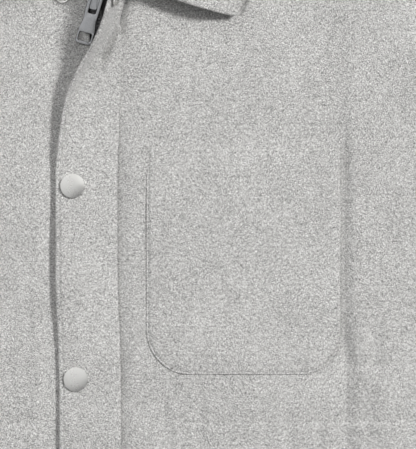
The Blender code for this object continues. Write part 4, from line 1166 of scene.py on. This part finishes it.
def make_teeth(dark_metal):
    mesh = bmesh.new()
    size = (TOOTH_LENGTH, TOOTH_WIDTH, TOOTH_HIGH - TOOTH_LOW, 1.0)
    for side, start in ((1, 0.5), (-1, 0.0)):
        for k in range(int((CHAIN_TOP - CHAIN_BOTTOM) / TOOTH_PITCH)):
            y = CHAIN_BOTTOM + (k + start) * TOOTH_PITCH
            x = zip_x(y) + side * (CHAIN_HALF - TOOTH_LENGTH / 2)
            middle = Vector((x, y + POINT_Y, (TOOTH_LOW + TOOTH_HIGH) / 2))
            matrix = Matrix.Translation(middle) @ Matrix.Diagonal(size)
            made = bmesh.ops.create_cube(mesh, size=1.0, matrix=matrix)
            for vert in made["verts"]:
                if (vert.co.x - middle.x) * side < 0.0:
                    vert.co.y += (middle.y - vert.co.y) * TOOTH_TAPER
    piece = add_object("zip_teeth", mesh_data("zip_teeth", mesh), dark_metal)
    bevel = piece.modifiers.new("edges", "BEVEL")
    bevel.width = 0.00018
    bevel.segments = 1
    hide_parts("zip_chain")
    return piece


# Materials

def new_material(name):
    """A material, its node tree, its shader and the object's own coordinates."""
    made = bpy.data.materials.new(name)
    made.use_nodes = True
    tree = made.node_tree
    place = tree.nodes.new("ShaderNodeTexCoord").outputs["Object"]
    return made, tree, tree.nodes["Principled BSDF"], place


def set_inputs(tree, node, values):
    """Each input is set to a number or a colour, or linked to another node's output."""
    for key, value in values.items():
        if isinstance(value, bpy.types.NodeSocket):
            tree.links.new(value, node.inputs[key])
        else:
            node.inputs[key].default_value = value


def add_node(tree, kind, output, values):
    """One output of a new node, with the node's inputs set or linked."""
    node = tree.nodes.new("ShaderNode" + kind)
    set_inputs(tree, node, values)
    return node.outputs[output]


def noise(tree, place, scale, detail):
    values = {"Scale": scale, "Detail": detail, "Roughness": 0.6, "Vector": place}
    return add_node(tree, "TexNoise", "Fac", values)


def ramp(tree, value, stops):
    made = tree.nodes.new("ShaderNodeValToRGB")
    elements = made.color_ramp.elements
    while len(elements) < len(stops):
        elements.new(0.5)
    for element, (place, colour) in zip(elements, stops):
        element.position = place
        element.color = (*colour, 1.0)
    tree.links.new(value, made.inputs["Fac"])
    return made.outputs["Color"]


def combine(tree, operation, first, second):
    made = tree.nodes.new("ShaderNodeMath")
    made.operation = operation
    set_inputs(tree, made, {0: first, 1: second})
    return made.outputs["Value"]


def bump(tree, height, strength, distance):
    return add_node(tree, "Bump", "Normal", {"Strength": strength, "Distance": distance, "Height": height})


WOOL_DARK = (0.040, 0.040, 0.040)
WOOL_MID = (0.500, 0.494, 0.483)
WOOL_LIGHT = (0.960, 0.953, 0.937)
RIB_PITCH = 0.00295


def turned_place(tree, place, turn):
    """Coordinates turned about all three axes, so that a noise's own grid doesn't show on flat cloth."""
    return add_node(tree, "Mapping", "Vector", {"Rotation": turn, "Vector": place})


def ribs(tree, place):
    """Fine ribs across the cloth, broken up from yarn to yarn."""
    drawn = add_node(tree, "Mapping", "Vector", {"Scale": (1900.0, 70.0, 1.0), "Vector": place})
    shift = combine(tree, "MULTIPLY", noise(tree, drawn, 1.0, 0.0), 14.0)
    down = add_node(tree, "SeparateXYZ", "Y", {"Vector": place})
    turns = combine(tree, "MULTIPLY", down, 2.0 * math.pi / RIB_PITCH)
    return combine(tree, "SINE", combine(tree, "ADD", turns, shift), 0.0)


def wool_material(name, angle):
    """Brushed melange flannel: dark and pale fibres mixed, with faint ribs along the piece's own grain."""
    made, tree, shader, place = new_material(name)
    place = turned_place(tree, place, (0.0, 0.0, angle))
    askew = turned_place(tree, place, (0.62, 0.47, 0.81))
    grain = noise(tree, askew, 2750.0, 0.0)
    mixed = grain
    patches, swell = noise(tree, askew, 420.0, 2.0), noise(tree, askew, 28.0, 2.0)
    for part, weight in ((patches, 0.15), (swell, 0.07), (ribs(tree, place), 0.026)):
        mixed = combine(tree, "ADD", mixed, combine(tree, "MULTIPLY", part, weight))
    fibres = combine(tree, "ADD", grain, noise(tree, askew, 2600.0, 1.0))
    set_inputs(tree, shader, {
        "Base Color": ramp(tree, mixed, [(0.435, WOOL_DARK), (0.61, WOOL_MID), (0.785, WOOL_LIGHT)]),
        "Roughness": 0.95,
        "Specular IOR Level": 0.15,
        "Sheen Weight": 0.28,
        "Sheen Roughness": 0.6,
        "Normal": bump(tree, fibres, 0.50, 0.00035),
    })
    return made


def mottled_material(name, scale, dark, light, roughness):
    """A plain colour with a faint cloudiness."""
    made, tree, shader, place = new_material(name)
    colour = ramp(tree, noise(tree, place, scale, 2.0), [(0.3, dark), (0.7, light)])
    set_inputs(tree, shader, {"Base Color": colour, "Roughness": roughness})
    return made


def tape_material():
    """Dark tape with a fine herringbone of ribs."""
    made, tree, shader, place = new_material("zip_tape")
    wave = tree.nodes.new("ShaderNodeTexWave")
    wave.bands_direction = "DIAGONAL"
    set_inputs(tree, wave, {"Scale": 420.0, "Distortion": 1.5, "Vector": place})
    weave = wave.outputs["Fac"]
    colour = ramp(tree, weave, [(0.2, (0.012, 0.012, 0.013)), (0.9, (0.055, 0.054, 0.054))])
    normal = bump(tree, weave, 0.5, 0.0002)
    set_inputs(tree, shader, {"Base Color": colour, "Roughness": 0.85, "Normal": normal})
    return made


def metal_material(name, dark, light, roughness, scale):
    """Satin metal with a faint cloudiness and fine scratches."""
    made, tree, shader, place = new_material(name)
    cloud = noise(tree, place, scale, 3.0)
    span = {"To Min": roughness - 0.05, "To Max": roughness + 0.05, "Value": cloud}
    set_inputs(tree, shader, {
        "Base Color": ramp(tree, cloud, [(0.3, dark), (0.7, light)]),
        "Metallic": 1.0,
        "Roughness": add_node(tree, "MapRange", "Result", span),
        "Normal": bump(tree, noise(tree, place, scale * 9.0, 2.0), 0.08, 0.00005),
    })
    return made


# Stage: floor, light and camera

def make_stage():
    mesh = bmesh.new()
    bmesh.ops.create_grid(mesh, x_segments=1, y_segments=1, size=6.0)
    paint = mottled_material("floor_paint", 3.0, (0.80, 0.80, 0.80), (0.84, 0.84, 0.83), 0.8)
    floor = add_object("floor", mesh_data("floor", mesh), paint)
    floor.location.z = -0.0002


def area_light(name, azimuth, elevation, distance, size, energy, colour=(1.0, 1.0, 1.0)):
    """A soft disc that faces the middle of the view. Azimuth is from +X towards +Y."""
    data = bpy.data.lights.new(name, "AREA")
    data.shape = "DISK"
    data.size = size
    data.energy = energy
    data.color = colour
    light = add_object(name, data)
    a, e = math.radians(azimuth), math.radians(elevation)
    way = Vector((math.cos(a) * math.cos(e), math.sin(a) * math.cos(e), math.sin(e)))
    light.location = Vector((VIEW_X, POINT_Y - VIEW_DROP, 0.0)) + way * distance
    light.rotation_mode = "QUATERNION"
    light.rotation_quaternion = way.to_track_quat("Z", "Y")


def make_lights():
    # name, azimuth, elevation, distance, size and power
    area_light("key", 28.0, 48.0, 8.0, 1.38, 488.0, (1.0, 0.995, 0.985))
    area_light("side", 115.0, 50.0, 4.2, 3.1, 53.0)
    area_light("low", -106.0, 14.0, 4.0, 1.3, 17.0)
    area_light("overhead", 135.0, 82.0, 5.0, 3.9, 27.0)
    world = bpy.data.worlds.new("studio")
    world.use_nodes = True
    background = world.node_tree.nodes["Background"]
    background.inputs["Color"].default_value = (0.98, 0.99, 1.0, 1.0)
    background.inputs["Strength"].default_value = 0.15
    bpy.context.scene.world = world


def make_camera():
    data = bpy.data.cameras.new("camera")
    data.sensor_fit = "VERTICAL"
    data.sensor_height = SENSOR
    data.lens = SENSOR * CAMERA_DISTANCE / VIEW_HEIGHT
    data.clip_end = 30.0
    camera = add_object("camera", data)
    camera.location = (VIEW_X, POINT_Y - VIEW_DROP, FRONT_TOP + CAMERA_DISTANCE)
    bpy.context.scene.camera = camera


def add_to(body, pieces):
    for piece in pieces:
        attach(piece, body)


def main():
    wool = wool_material("flannel", 0.0)
    left_wool = wool_material("flannel_left", -SLEEVE_ANGLE)
    right_wool = wool_material("flannel_right", SLEEVE_ANGLE)
    thread = mottled_material("thread", 3000.0, (0.30, 0.30, 0.295), (0.46, 0.455, 0.445), 0.7)
    tape = tape_material()
    zinc = metal_material("zip_metal", (0.30, 0.305, 0.315), (0.35, 0.355, 0.365), 0.24, 300.0)
    nickel = metal_material("stud_metal", (0.68, 0.675, 0.655), (0.72, 0.715, 0.695), 0.28, 120.0)
    teeth = metal_material("zip_teeth_metal", (0.10, 0.10, 0.105), (0.16, 0.16, 0.165), 0.45, 400.0)
    cloth = {
        "back": make_back(wool),
        "front_left": make_front("front_left_cloth", 1, wool),
        "front_right": make_front("front_right_cloth", -1, wool),
        "placket": make_placket(wool),
        "pocket": make_pocket(wool),
        "sleeve_left": make_sleeve("sleeve_left_cloth", 1, left_wool),
        "sleeve_right": make_sleeve("sleeve_right_cloth", -1, right_wool),
    }
    cloth["collar_leaf"], cloth["collar_stand"] = make_collar(wool)
    for node, piece in cloth.items():
        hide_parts(node)
    sewing = make_sewing(thread)
    add_to("garment", [*cloth.values(), *sum(sewing.values(), [])])
    add_to("garment", make_studs(nickel))
    slider = weld_copy("slider", "slider_metal", zinc, 0.00022)
    add_to("garment", [slider, make_teeth(teeth)])
    add_to("pull", [make_pull(zinc)])
    for node in ("zip_tape_left", "zip_tape_right"):
        frame["nodes"][node].material_slots[0].material = tape
    make_stage()
    make_lights()
    make_camera()
    bpy.context.scene.view_settings.view_transform = "Standard"


main()
